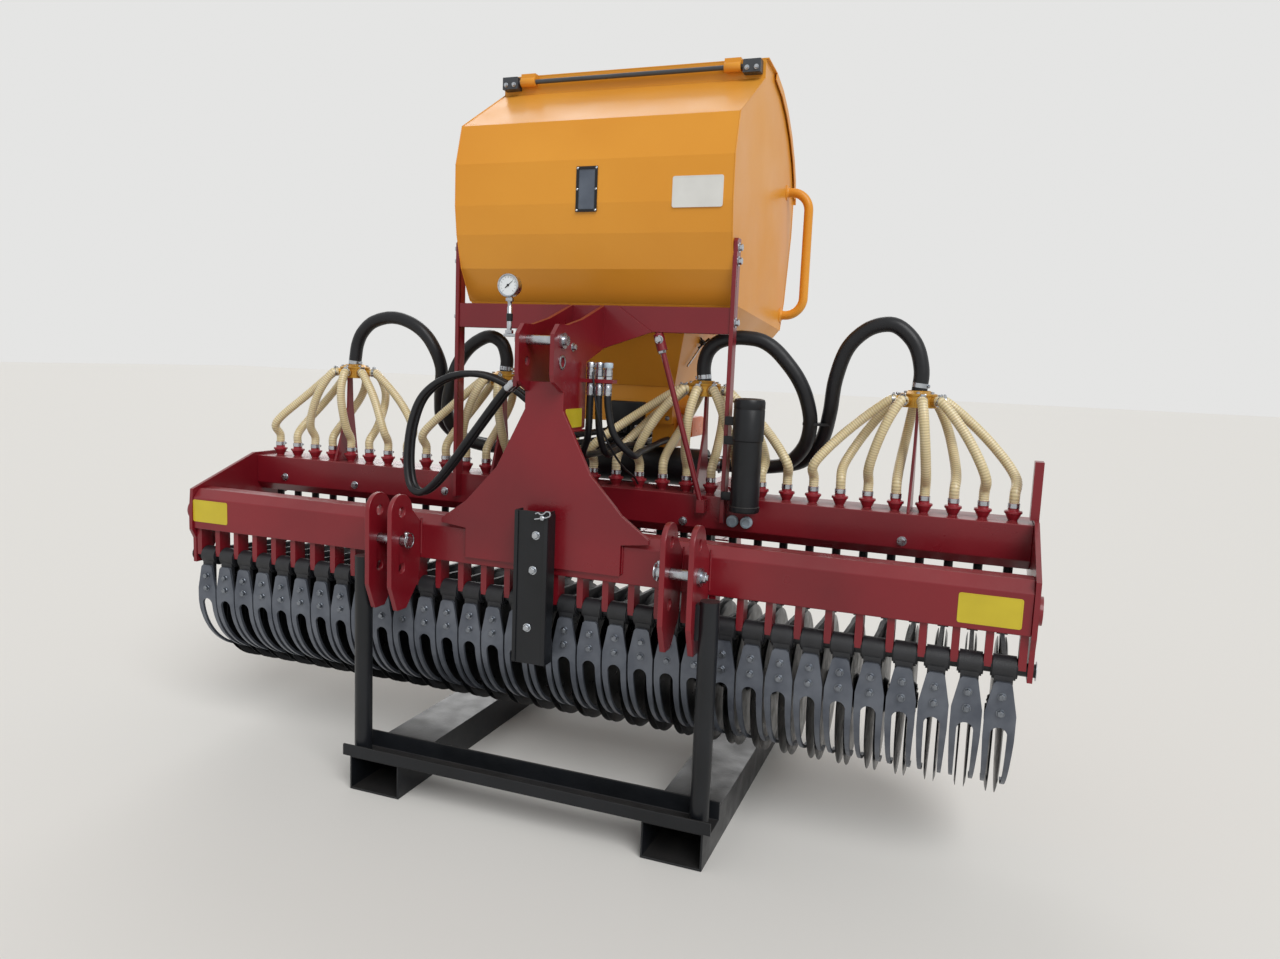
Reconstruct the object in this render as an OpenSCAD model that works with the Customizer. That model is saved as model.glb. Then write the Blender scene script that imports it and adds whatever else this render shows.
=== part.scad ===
// Three-point mounted pneumatic double-disc overseeder, parked on its storage skid.
// Millimetres. X runs along the rows' width, Y to the rear, Z up, the floor is Z = 0.
// Places are written from the coulter forks' bolt plane (Y = 0) and moved once, in placed().

/* [Rows] */
// Number of sowing rows
row_count = 33; // [17:2:33]
// Distance between two rows
row_pitch = 75; // [75:1:90]
// Place along Y of the seed spouts on the rear beam
spout_y = 307; // [303:1:312]

/* [Frame] */
// Thickness of the end plates of the frame
end_plate_t = 12; // [8:1:16]
// Free width between the outer rows and the end plates
end_gap = 50; // [48:1:70]
// Front face of the front beam along Y
front_beam_y = -33; // [-40:1:-30]
// Depth of the front beam
front_beam_d = 80; // [70:1:90]
// Underside of the front beam
front_beam_z = 678; // [672:1:684]
// Height of the front beam
front_beam_h = 128; // [120:1:140]
// Front face of the rear beam along Y
rear_beam_y = 249; // [240:1:255]
// Depth of the rear beam
rear_beam_d = 151; // [140:1:160]
// Underside of the rear beam
rear_beam_z = 775; // [765:1:785]
// Height of the rear beam
rear_beam_h = 119; // [110:1:125]
// Wall of both beams
beam_wall = 8; // [5:1:10]

/* [Coulters] */
// Radius of a coulter disc
disc_r = 200; // [180:1:205]
// Thickness of a coulter disc
disc_t = 4; // [3:0.5:6]
// Free width between the two discs of a coulter
disc_gap = 20; // [18:0.5:22]
// Axle of the discs along Y
disc_y = 240; // [235:1:250]
// Axle of the discs above the floor
disc_z = 392; // [385:1:400]
// Radius of a disc axle
axle_r = 16; // [12:0.5:18]
// Radius of the tube that carries the coulter arms
arm_tube_r = 16; // [14:0.5:18]
// Height of that tube
arm_tube_z = 590; // [585:1:595]
// Width of a fork over both legs at its widest
fork_w = 70; // [66:0.5:72]
// Width between the legs of a fork
fork_slot = 38; // [36:0.5:40]
// Thickness of a fork's plate
fork_t = 8; // [6:0.5:10]

/* [Hitch] */
// Distance between the lower link points
lower_link_span = 870; // [825:1:890]
// Distance between the two plates of a lower link point, centre to centre
hitch_plate_gap = 74; // [70:1:80]
// Thickness of a hitch plate
hitch_plate_t = 15; // [12:1:18]
// Lower link pins along Y
hitch_y = -125; // [-130:1:-115]
// Lower link pins above the floor
hitch_z = 745; // [735:1:755]
// Radius of a lower link pin
lower_pin_r = 14; // [11:0.5:14.5]
// Height of the top link pin above the lower link pins
mast_h = 570; // [560:1:580]
// Radius of the top link pin
top_pin_r = 12.7; // [9.5:0.1:14]
// Distance between the outer faces of the top link ears
mast_ear_w = 114; // [108:1:120]
// Thickness of the mast's plates
mast_t = 12; // [10:1:15]

/* [Hopper] */
// Width of the hopper over its end panels
hopper_w = 860; // [840:1:900]
// Thickness of the hopper's sheet
hopper_t = 4; // [3:0.5:6]
// Lower edge of the hopper's straight walls
hopper_z = 1436; // [1432:1:1440]
// Underside of the hopper's funnel
funnel_z = 1195; // [1185:1:1210]
// Width of the funnel's outlet
outlet_w = 420; // [400:1:440]
// Thickness of the lid
lid_t = 3; // [2:0.5:4]
// Clearance between the lid and the hopper's rim
lid_clear = 0.5; // [0.3:0.1:1]

/* [Hoses] */
// Outer radius of a seed hose
seed_hose_r = 14; // [10:0.5:15]
// Outer radius of an air hose
air_hose_r = 21; // [16:0.5:23]
// Outer radius of a hydraulic hose
oil_hose_r = 10; // [7:0.5:11]

/* [Skid] */
// Outer width of a fork pocket
pocket_w = 166; // [150:1:180]
// Height of a fork pocket
pocket_h = 102; // [90:1:110]
// Wall of a fork pocket
pocket_wall = 6; // [4:0.5:8]
// Length of the fork pockets
pocket_l = 1020; // [980:1:1040]
// Distance between the middles of the fork pockets
pocket_span = 904; // [890:1:920]
// Radius of a prop tube
prop_r = 25; // [20:1:26]

/* [Hidden] */
$fn = 48;

red = "#85121f";
amber = "#e2a02c";
black = "#22252b";
steel = "#8d9298";
fork_grey = "#5c6068";
cream = "#dccba4";

// Widths along X
row_w = (row_count - 1) * row_pitch;
inner_w = row_w + 2 * end_gap;
frame_w = inner_w + 2 * end_plate_t;
front_top = front_beam_z + front_beam_h;
rear_top = rear_beam_z + rear_beam_h;
front_back = front_beam_y + front_beam_d;
rear_back = rear_beam_y + rear_beam_d;
hitch_x = lower_link_span / 2;
half_hopper = hopper_w / 2;

// The whole stands centred on its own length along Y
hitch_plate_r = 50;
step_back = 1010;
mid_y = (hitch_y - hitch_plate_r + step_back) / 2;

// Running and seating clearances
pin_clear = 0.3;
slide_clear = 0.4;
touch = 0.3;

// Side outline of the hopper: [y, z] from the lower front corner, up the front, along the top to the rear
hopper_side = [[285, hopper_z], [228, 1530], [201, 1627], [190, 1710], [190, 1830], [222, 1948], [478, 2105],
    [478, 2158], [592, 2150], [690, 2126], [775, 2086], [855, 2030], [921, 1962], [958, 1905], [975, 1850],
    [970, 1720], [914, 1490], [872, hopper_z - 42]];
lid_line = [for (i = [7:14]) hopper_side[i]];
lid_pin = [462, 2137];
lid_pin_r = 7;

// Lower edge of the hopper, which falls to the rear, and the tray and funnel under it
crease_y = [hopper_side[0][0], hopper_side[17][0]];
function crease_z(y) = hopper_z - 42 * (y - crease_y[0]) / (crease_y[1] - crease_y[0]);
tray_z = hopper_z - 64;
tray_y = [310, 866];
funnel_top = [270, 320, 700];

// Places used by several pieces
seed_drop_r = 12;
boss_at = [-4, 735];
hole_step = 80;
top_pin_y = -60;
top_pin_z = hitch_z + mast_h;
shelf_z = top_pin_z - 109;
shelf_t = 10;
plug_x = [80, 106, 132];
plug_y = 80;
crossbar_y = 221;
crossbar_z = 1353;
crossbar_top = 1426;
post_t = 12;
post_y = [216, 256];
post_top = 1615;
outlet_y = [425, 640];
meter_z = funnel_z - 115;
manifold_x = 300;
manifold_y = 510;
manifold_r = 60;
manifold_z = rear_top - 12 + manifold_r + touch;
fan_x = -0.5 * row_pitch;
fan_y = [690, 790];
fan_z = 960;
fan_r = 115;
fan_inlet_r = 70;
oil_x = fan_x;
oil_z = 1017;
carrier_x = 300;
carrier_back = 840;
doc_x = half_hopper + 77;
doc_y = 190;
doc_r = 40;
stand_w = 100;
stand_t = 5;
stand_y = -100;
pocket_y = -167;
cross_x = 555;
prop_x = 513;
prop_y = -133;
rear_prop_y = 640;

// Distributor heads: [middle in row pitches, first row, last row, head's own shift along X]
head_rows = [[-12.5, 0, 7, 20], [-4.5, 8, 15, 4], [4.5, 16, 24, -10], [12.5, 25, 32, 0]];
head_y = 350;
head_z = 1194;
head_r = 46;
head_h = 34;
port_l = 14;
spout_top = rear_top + 47;

function row_x(i) = (i - (row_count - 1) / 2) * row_pitch;
function bracket_x(k) = head_rows[k][0] * row_pitch;
function head_x(k) = bracket_x(k) + head_rows[k][3];

// Unit vector of v
function unit(v) = v / norm(v);

// Outline moved inwards by t, for corners listed in either direction around a shape
function turned(v) = [v[1], -v[0]];
function inset(p, t) = [for (i = [0:len(p) - 1])
    let (a = turned(unit(p[i] - p[(i + len(p) - 1) % len(p)])),
        b = turned(unit(p[(i + 1) % len(p)] - p[i])))
    p[i] + t * (a + b) / (1 + a * b)];

// Band along an open line between two distances on its left side
function side_line(p, t) = [for (i = [0:len(p) - 1])
    let (a = turned(unit(p[max(i, 1)] - p[max(i, 1) - 1])),
        b = turned(unit(p[min(i + 1, len(p) - 1)] - p[min(i, len(p) - 2)])))
    p[i] - t * (a + b) / (1 + a * b)];
function reversed(p) = [for (i = [len(p) - 1:-1:0]) p[i]];
function band(p, t0, t1) = concat(side_line(p, t0), reversed(side_line(p, t1)));

// Smooth route through points chosen by hand, n steps between two of them
function spline_at(a, b, c, d, t) = 0.5 * (2 * b + (c - a) * t + (2 * a - 5 * b + 4 * c - d) * t * t
    + (3 * b - a - 3 * c + d) * t * t * t);
function smooth(p, n) = concat([for (i = [0:len(p) - 2]) for (k = [0:n - 1])
    spline_at(i == 0 ? 2 * p[0] - p[1] : p[i - 1], p[i], p[i + 1],
        i + 2 > len(p) - 1 ? 2 * p[i + 1] - p[i] : p[i + 2], k / n)], [p[len(p) - 1]]);

// Turns v with the least turn that takes unit vector a to unit vector b
function carried(a, b, v) = let (c = cross(a, b), d = a * b) v * d + cross(c, v) + c * (c * v) / (1 + d);
function tangents(p, first, last) = [for (i = [0:len(p) - 1])
    i == 0 ? first : i == len(p) - 1 ? last : unit(p[i + 1] - p[i - 1])];
function sides(t, done) = len(done) == len(t) ? done
    : sides(t, concat(done, [unit(carried(t[len(done) - 1], t[len(done)], done[len(done) - 1]))]));
function first_side(t) = unit(cross(t, abs(t[1]) < 0.9 ? [0, 1, 0] : [1, 0, 0]));

// Tube of radius r along points p, with n sides and square ends that face along first and last
module tube(p, r, n, first, last) {
    t = tangents(p, first, last);
    s = sides(t, [first_side(t[0])]);
    rings = len(p);
    points = [for (i = [0:rings - 1]) for (k = [0:n - 1])
        p[i] + r * (cos(360 * k / n) * s[i] + sin(360 * k / n) * cross(t[i], s[i]))];
    walls = [for (i = [0:rings - 2]) for (k = [0:n - 1])
        [i * n + k, i * n + (k + 1) % n, (i + 1) * n + (k + 1) % n, (i + 1) * n + k]];
    polyhedron(points, concat([[for (k = [n - 1:-1:0]) k]], walls, [[for (k = [0:n - 1]) (rings - 1) * n + k]]));
}

module placed() {
    translate([0, -mid_y, 0]) children();
}

// Outline given as [y, z], as thick as w along X, centred on x
module across(w, x = 0) {
    translate([x - w / 2, 0, 0]) rotate([90, 0, 90]) linear_extrude(w) children();
}

// Outline given as [x, z], as thick as d along Y, from y to the rear
module facing(y, d) {
    translate([0, y + d, 0]) rotate([90, 0, 0]) linear_extrude(d) children();
}

module rod_x(x0, x1, y, z, r) {
    translate([x0, y, z]) rotate([0, 90, 0]) cylinder(h = x1 - x0, r = r);
}

module rod_y(y0, y1, x, z, r) {
    translate([x, y0, z]) rotate([-90, 0, 0]) cylinder(h = y1 - y0, r = r);
}

module rod_z(z0, z1, x, y, r) {
    translate([x, y, z0]) cylinder(h = z1 - z0, r = r);
}

module block(x, y, z) {
    translate([x[0], y[0], z[0]]) cube([x[1] - x[0], y[1] - y[0], z[1] - z[0]]);
}

// Round bar between two points
module bar(a, b, r) {
    v = b - a;
    translate(a) rotate([0, acos(v[2] / norm(v)), atan2(v[1], v[0])]) cylinder(h = norm(v), r = r);
}

module both_sides() {
    for (s = [0, 1]) mirror([s, 0, 0]) children();
}

// Front beam: a closed folded box whose upper front edge is bevelled
module front_beam() {
    bevel = [25, 28];
    outline = [[front_beam_y, front_beam_z], [front_beam_y, front_top - bevel[1]],
        [front_beam_y + bevel[0], front_top], [front_back, front_top], [front_back, front_beam_z]];
    color(red) placed() across(inner_w) difference() {
        polygon(outline);
        polygon(inset(outline, beam_wall));
    }
}

// Rear beam: a folded cap, open below, whose front lip is folded inwards
module rear_beam() {
    lip = [22, 26];
    line = [[rear_beam_y + lip[0], rear_beam_z], [rear_beam_y, rear_beam_z + lip[1]], [rear_beam_y, rear_top],
        [rear_back, rear_top], [rear_back, rear_beam_z + lip[1]]];
    color(red) placed() difference() {
        across(inner_w) polygon(band(line, 0, -beam_wall));
        for (i = [0:row_count - 1]) rod_z(rear_top - beam_wall - 1, rear_top + 1, row_x(i), spout_y, seed_drop_r - 2);
    }
}

// End plates join both beams, hold the ends of the arm tube and carry a round boss each
module end_plates() {
    outline = [[front_beam_y, front_top], [front_beam_y - 6, front_beam_z + 60], [front_beam_y - 6, front_beam_z - 4],
        [-24, 645], [-24, arm_tube_z - 24], [30, arm_tube_z - 24], [60, 625], [130, 700], [rear_back, 752],
        [rear_back, rear_top], [rear_back - 40, rear_top + 10], [rear_beam_y - 10, rear_top + 10]];
    color(red) placed() {
        both_sides() difference() {
            union() {
                across(end_plate_t, inner_w / 2 + end_plate_t / 2) polygon(outline);
                rod_x(inner_w / 2 + end_plate_t - 1, inner_w / 2 + end_plate_t + 8, boss_at[0], boss_at[1], 34);
            }
            rod_x(inner_w / 2 - 1, inner_w / 2 + end_plate_t + 1, 0, arm_tube_z, arm_tube_r + pin_clear);
            rod_x(inner_w / 2 - 1, inner_w / 2 + end_plate_t + 9, boss_at[0], boss_at[1], 8.5);
        }
        block([frame_w / 2 - 22, frame_w / 2], [268, 318], [rear_top + 10, 1055]);
    }
}

// Lower link plates: two at each side, with a round head and three pin holes
module hitch_plates() {
    r = hitch_plate_r;
    body = [[hitch_y - r, 620], [hitch_y - r, hitch_z + hole_step], [hitch_y + r, hitch_z + hole_step],
        [front_beam_y, front_top - 20], [front_beam_y, front_beam_z], [front_beam_y - 12, 610], [hitch_y + 24, 545],
        [hitch_y - 20, 545]];
    color(red) placed() both_sides() for (s = [-1, 1]) {
        x = hitch_x + s * hitch_plate_gap / 2;
        difference() {
            union() {
                across(hitch_plate_t, x) polygon(body);
                rod_x(x - hitch_plate_t / 2, x + hitch_plate_t / 2, hitch_y, hitch_z + hole_step, r);
            }
            for (k = [-1:1]) rod_x(x - hitch_plate_t, x + hitch_plate_t, hitch_y, hitch_z + k * hole_step,
                lower_pin_r + pin_clear);
        }
    }
}

// Mast: the flat plate that stands on the front beam's face and narrows to the ears
module mast() {
    half = [[315, front_top - 13], [315, front_top], [236, 862], [141, 965], [mast_ear_w / 2, 1130],
        [mast_ear_w / 2, shelf_z - 1]];
    foot = [[236, 700], [236, front_top - 22]];
    outline = concat(foot, half);
    color(red) placed() facing(front_beam_y - mast_t, mast_t)
        polygon(concat(outline, reversed([for (p = outline) [-p[0], p[1]]])));
}

// Ears for the top link pin behind and above the mast plate, with the gussets at the crossbar,
// the angle for the parked plugs at the left and the plate with the hose plugs at the right
module mast_ears() {
    half = mast_ear_w / 2;
    ear = [[front_beam_y, 1070], [front_beam_y, 1174], [front_beam_y - mast_t, 1178], [-104, shelf_z],
        [-110, shelf_z + 19], [-110, top_pin_z + 15], [-82, top_pin_z + 42], [-30, top_pin_z + 42], [70, 1378],
        [crossbar_y, crossbar_top], [crossbar_y, crossbar_z - 51], [100, 1262], [100, 1079], [60, 1070]];
    reach = 52;
    color(red) placed() difference() {
        union() {
            both_sides() {
                across(mast_t, half - mast_t / 2) polygon(ear);
                facing(crossbar_y - 8, 8) polygon([[half - 1, crossbar_z - 51], [half - 1, crossbar_top],
                    [half + 40, crossbar_top], [half + 148, crossbar_z]]);
            }
            block([-half - reach, -half + 1], [-20, 32], [shelf_z, shelf_z + shelf_t]);
            block([-half - reach, -half - reach + 12], [-20, 32], [shelf_z - 18, shelf_z + 6]);
            block([half - 1, plug_x[2] + 20], [plug_y - 16, plug_y + 16], [shelf_z, shelf_z + shelf_t]);
        }
        block([-half - 1, half + 1], [front_beam_y - mast_t, front_beam_y], [1000, shelf_z - 1]);
        for (k = [0, 1]) rod_x(-half - 1, half + 1, top_pin_y, top_pin_z - 56 * k, top_pin_r + pin_clear);
    }
}

// Pins of the lower links and of the top link, each with a collar against its outer plate
module hitch_pins() {
    over = hitch_plate_gap / 2 + hitch_plate_t / 2;
    half = mast_ear_w / 2;
    color(steel) placed() {
        both_sides() {
            rod_x(hitch_x - over - 26, hitch_x + over + 14, hitch_y, hitch_z, lower_pin_r);
            rod_x(hitch_x + over + touch, hitch_x + over + 8, hitch_y, hitch_z, lower_pin_r + 9);
        }
        rod_x(-half - 22, half + 16, top_pin_y, top_pin_z, top_pin_r);
        rod_x(half + touch, half + 7, top_pin_y, top_pin_z, top_pin_r + 8);
    }
}

// Flat posts that stand on the rear beam and hold the hopper by its end panels
module hopper_posts() {
    color(red) placed() both_sides() difference() {
        across(post_t, half_hopper + touch + post_t / 2) polygon([[post_y[0], rear_top - 70],
            [post_y[0], post_top - 10], [post_y[0] + 10, post_top], [post_y[1], post_top], [post_y[1], rear_top],
            [rear_beam_y, rear_top], [rear_beam_y, rear_top - 70]]);
        rod_x(half_hopper - 1, half_hopper + post_t + 2, (post_y[0] + post_y[1]) / 2, 1553, 8.3);
    }
}

// Channel between the posts, open to the rear
module hopper_crossbar() {
    line = [[post_y[1] - 2, crossbar_z + 3], [crossbar_y + 3, crossbar_z + 3], [crossbar_y + 3, crossbar_top - 3],
        [post_y[1] - 2, crossbar_top - 3]];
    color(red) placed() across(2 * half_hopper + 2 * touch) polygon(band(line, 3, -3));
}

// Round brace with its adjusting sleeve, from the crossbar down to a lug on the rear beam's face
module hopper_strut() {
    top = [216, crossbar_y + 9, crossbar_z + 8];
    foot = [372, crossbar_y + 7, rear_top - 24];
    along = (foot - top) / (top[2] - foot[2]);
    color(red) placed() {
        difference() {
            union() {
                bar(top, foot, 8);
                bar(top + 12 * along, top + 59 * along, 15);
            }
            block([-900, 900], [0, 500], [crossbar_z, crossbar_z + 60]);
        }
        block([foot[0] - 12, foot[0] + 12], [crossbar_y - 4, rear_beam_y], [foot[2] - 22, foot[2] + 14]);
    }
}

// Hopper: folded sheet between two end panels, open at the top under the lid and below into the funnel
module hopper_body() {
    inner = inset(hopper_side, hopper_t);
    rim = 34;
    color(amber) placed() difference() {
        across(hopper_w) polygon(hopper_side);
        across(hopper_w - 2 * hopper_t) polygon(inner);
        across(hopper_w - 2 * hopper_t) polygon([for (v = [[crease_y[0] + 6, -3], [crease_y[0] + 6, 9],
            [crease_y[1] - 6, 9], [crease_y[1] - 6, -3]]) [v[0], crease_z(v[0]) + v[1]]]);
        across(hopper_w - 2 * rim) polygon(concat(side_line([for (i = [1:6]) lid_line[i]], -12),
            reversed(side_line([for (i = [1:6]) lid_line[i]], 12))));
        facing(hopper_side[3][0] - 5, 20)
            polygon([[-26, 1692], [26, 1692], [26, 1804], [-26, 1804]]);
    }
}

// Funnel: a shallow tray under the hopper's lower edge, whose floor opens into the narrowing funnel
module hopper_funnel() {
    color(amber) placed() difference() {
        union() {
            tray(0, tray_z - hopper_t, 0);
            frustum(funnel_top, tray_z - 1, [outlet_w / 2, outlet_y[0], outlet_y[1]], funnel_z, 0);
        }
        tray(hopper_t, tray_z, 2);
        frustum(funnel_top, tray_z - 1, [outlet_w / 2, outlet_y[0], outlet_y[1]], funnel_z, hopper_t);
    }
}

// Tray down to z, moved inwards by t and made higher by e; its side walls keep one slope along the edge
module tray(t, z, e) {
    low = [for (y = tray_y) [half_hopper - t - 0.7 * (crease_z(y) - z), y]];
    points = [for (s = [-1, 1]) for (k = [0, 1]) for (top = [0, 1])
        top == 1 ? [s * (half_hopper - t), crease_y[k] + (k == 0 ? t : -t), crease_z(crease_y[k] + (k == 0 ? t : -t)) + e]
            : [s * low[k][0], low[k][1] + (k == 0 ? t : -t), z]];
    hull() polyhedron(points, [[0, 1, 3, 2], [4, 6, 7, 5], [0, 4, 5, 1], [2, 3, 7, 6], [1, 5, 7, 3], [0, 2, 6, 4]]);
}

// Four sloping walls between two rectangles [half width, front, rear], moved inwards by t
module frustum(top, z1, low, z0, t) {
    e = t > 0 ? 6 : 0;
    d = (top - low) / (z1 - z0);
    a = low - e * d;
    b = top + e * d;
    intersection() {
        facing(0, 1200) polygon([[t - a[0], z0 - e], [t - b[0], z1 + e], [b[0] - t, z1 + e], [a[0] - t, z0 - e]]);
        across(2000) polygon([[a[1] + t, z0 - e], [b[1] + t, z1 + e], [b[2] - t, z1 + e], [a[2] - t, z0 - e]]);
    }
}

module sight_window() {
    color("#2c3440") placed() facing(hopper_side[3][0], hopper_t)
        polygon([[-25.7, 1692.3], [25.7, 1692.3], [25.7, 1803.7], [-25.7, 1803.7]]);
}

// Tubular handle beside the right rear edge, bent in two corners
module grab_handle() {
    r = 15;
    out = 76;
    bend = 60;
    x = half_hopper;
    y = 870;
    z = [1445, 1850];
    color(amber) placed() {
        for (k = [0, 1]) {
            rod_x(x, x + out - bend, y, z[k], r);
            translate([x + out - bend, y, z[k] + (k == 0 ? bend : -bend)]) rotate([90, k == 0 ? 90 : 0, 0])
                rotate_extrude(angle = 90) translate([bend, 0]) circle(r);
        }
        rod_z(z[0] + bend, z[1] - bend, x + out, y, r);
    }
}

// Hinge rod of the lid in its two end blocks
module lid_hinge() {
    color("#5a5f64") placed() {
        both_sides() block([half_hopper - 62, half_hopper - 8], [lid_pin[0] - 16, hopper_side[6][0]],
            [lid_pin[1] - 22, lid_pin[1] + 16]);
        rod_x(-half_hopper + 40, half_hopper - 40, lid_pin[0], lid_pin[1], lid_pin_r);
    }
}

// Lid: curved sheet with end flanges and two knuckles on the hinge rod
module hopper_lid() {
    over = 8.5;
    line = concat(lid_line, [lid_line[7] + [4, -22]]);
    color(amber) placed() {
        across(hopper_w + 2 * over) polygon(band(line, lid_clear, lid_clear + lid_t));
        both_sides() across(lid_t, half_hopper + over - lid_t / 2)
            polygon(band([for (i = [1:7]) lid_line[i]], -20, lid_clear + lid_t - 0.2));
        both_sides() difference() {
            union() {
                rod_x(half_hopper - 120, half_hopper - 70, lid_pin[0], lid_pin[1], 14);
                block([half_hopper - 120, half_hopper - 70], [lid_pin[0] - 6, hopper_side[7][0] - 1],
                    [lid_pin[1], hopper_side[7][1] + lid_clear + 3]);
            }
            rod_x(half_hopper - 121, half_hopper - 69, lid_pin[0], lid_pin[1], lid_pin_r + pin_clear);
        }
    }
}

// Metering unit under the funnel, with its calibration tray at the right
module metering_housing() {
    x = outlet_w / 2 - 4;
    color(amber) placed() {
        block([-x, x], [outlet_y[0] + 4, outlet_y[1] - 4], [meter_z, funnel_z]);
        block([136, x], [outlet_y[0] + 24, outlet_y[1] - 24], [meter_z - 74, meter_z]);
        rod_x(x, x + 26, (outlet_y[0] + outlet_y[1]) / 2, meter_z + 60, 34);
    }
}

// Air manifold: a drum on the carrier with two outlets to each side
module air_manifold() {
    color(black) placed() {
        rod_x(-manifold_x, manifold_x, manifold_y, manifold_z, manifold_r);
        both_sides() for (k = [-1, 1])
            rod_x(manifold_x, manifold_x + 40, manifold_y + 34 * k, manifold_z + 20, air_hose_r - 2);
    }
}

// Fan housing: a flat scroll with an open inlet at its rear face and a duct up to the manifold
module fan_housing() {
    color(black) placed() difference() {
        union() {
            rod_y(fan_y[0], fan_y[1], fan_x, fan_z, fan_r);
            block([fan_x, fan_x + fan_r], fan_y, [fan_z, fan_z + fan_r]);
            block([fan_x - 50, fan_x + 50], [fan_y[0] + 10, fan_y[1] - 10], [fan_z - fan_r, fan_z - fan_r + 20]);
        }
        rod_y(fan_y[0] + 5, fan_y[1] - 5, fan_x, fan_z, fan_r - 5);
        rod_y(fan_y[1] - 6, fan_y[1] + 1, fan_x, fan_z, fan_inlet_r);
        rod_y(fan_y[0] - 1, fan_y[0] + 6, fan_x, fan_z, 12 + pin_clear);
    }
}

// Fan wheel: back disc, hub on the motor's shaft and straight blades
module fan_rotor() {
    blades = 12;
    y0 = fan_y[0] + 12;
    color(steel) placed() difference() {
        union() {
            rod_y(y0, y0 + 3, fan_x, fan_z, fan_r - 22);
            rod_y(y0, y0 + 40, fan_x, fan_z, 26);
            for (k = [0:blades - 1]) translate([fan_x, 0, fan_z]) rotate([0, k * 360 / blades, 0])
                block([50, fan_r - 24], [y0 + 2, y0 + 50], [-1.5, 1.5]);
        }
        rod_y(y0 - 1, y0 + 41, fan_x, fan_z, 9 + pin_clear);
    }
}

// Hydraulic motor on the fan's front face, its shaft through the fan wheel
module fan_motor() {
    color("#30343a") placed() {
        rod_y(fan_y[0] - 70, fan_y[0], fan_x, fan_z, 38);
        rod_y(fan_y[0], fan_y[0] + 50, fan_x, fan_z, 9);
        block([fan_x - 25, fan_x + 25], [fan_y[0] - 60, fan_y[0] - 20], [fan_z + 30, oil_z + 60]);
    }
}

// Two channels behind the rear beam that carry the metering unit, the fan and the step
module carrier_arms() {
    color(red) placed() {
        both_sides() {
            block([carrier_x - 40, carrier_x], [rear_back, carrier_back], [rear_beam_z + 30, rear_beam_z + 38]);
            block([carrier_x - 40, carrier_x], [rear_back, carrier_back], [rear_top - 20, rear_top - 12]);
            block([carrier_x - 8, carrier_x], [rear_back, carrier_back], [rear_beam_z + 30, rear_top - 12]);
        }
        block([-carrier_x + 8 + touch, carrier_x - 8 - touch], [fan_y[0] + 10, fan_y[1] - 10],
            [fan_z - fan_r - 8, fan_z - fan_r]);
    }
}

// Step for filling: two side plates behind the carriers, with two treads between them
module step_sides() {
    color(red) placed() both_sides() across(6, carrier_x + 3) polygon([[carrier_back - 120, rear_beam_z + 36],
        [carrier_back - 120, rear_top - 12], [carrier_back + 60, rear_top - 12], [step_back, 600], [step_back, 430],
        [step_back - 70, 430], [step_back - 110, 600], [carrier_back, rear_beam_z + 36]]);
}

module step_treads() {
    color(red) placed() for (k = [0, 1]) block([-carrier_x, carrier_x],
        [step_back - 90 - 30 * k, step_back - 10 - 30 * k], [440 + 200 * k, 446 + 200 * k]);
}

// Blades that hold the distributor heads, tapered from the beam to the head
module head_brackets() {
    color(red) placed() for (k = [0:3]) across(8, bracket_x(k))
        polygon([[rear_beam_y + 20, rear_top], [head_y - 14, head_z - 120], [head_y - 10, head_z - head_h / 2],
            [head_y + 10, head_z - head_h / 2], [head_y + 14, head_z - 120], [rear_back - 10, rear_top]]);
}

// Outlet of head k for row i: outlets lie evenly round the head in the order of the rows, front and rear by turns
function port_angle(k, i) = let (j = i - head_rows[k][1], n = head_rows[k][2] - head_rows[k][1] + 1)
    (j % 2 == 0 ? -1 : 1) * (180 - 180 * (j + 0.5) / n);

module distributor_heads() {
    color(amber) placed() for (k = [0:3]) translate([head_x(k), head_y, head_z]) {
        translate([0, 0, -head_h / 2]) cylinder(h = head_h, r = head_r);
        translate([0, 0, head_h / 2]) cylinder(h = 10, r1 = head_r, r2 = 28);
        for (i = [head_rows[k][1]:head_rows[k][2]]) rotate([0, 90, port_angle(k, i)])
            translate([0, 0, head_r - 8]) cylinder(h = port_l + 8, r = 12);
    }
}

// Spouts: a red cup and a clamp ring for each row on the rear beam
module seed_spouts() {
    color(red) placed() for (i = [0:row_count - 1]) translate([row_x(i), spout_y, rear_top]) {
        cylinder(h = 6, r = 14);
        translate([0, 0, 6]) cylinder(h = 26, r1 = 14, r2 = 23);
        translate([0, 0, 32]) cylinder(h = 15, r = 16);
    }
}

// Route of the hose from head k to the spout of row i
function hose_route(k, i) = let (a = port_angle(k, i), c = [head_x(k), head_y, head_z], u = [cos(a), sin(a), 0],
    start = head_r + port_l, x = row_x(i), near = head_x(k) + u[0] * (start + 22), side = sign(u[1]),
    far = abs(x - head_x(k)) / (4 * row_pitch))
    [c + u * start, c + u * (start + 20) - [0, 0, 4],
        [near + 0.54 * (x - near), head_y + u[1] * 94 + side * 6 * (1 - far), head_z - 76 - 14 * far],
        [x, spout_y + side * (28 + (side > 0 ? 14 : 0)), head_z - 185],
        [x, spout_y, spout_top + 30], [x, spout_y, spout_top]];

module seed_hoses(heads) {
    color(cream) placed() for (k = heads) for (i = [head_rows[k][1]:head_rows[k][2]])
        tube(smooth(hose_route(k, i), 2), seed_hose_r, 8, [cos(port_angle(k, i)), sin(port_angle(k, i)), 0], [0, 0, -1]);
}

module seed_hoses_left() { seed_hoses([0, 1]); }
module seed_hoses_right() { seed_hoses([2, 3]); }

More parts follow.
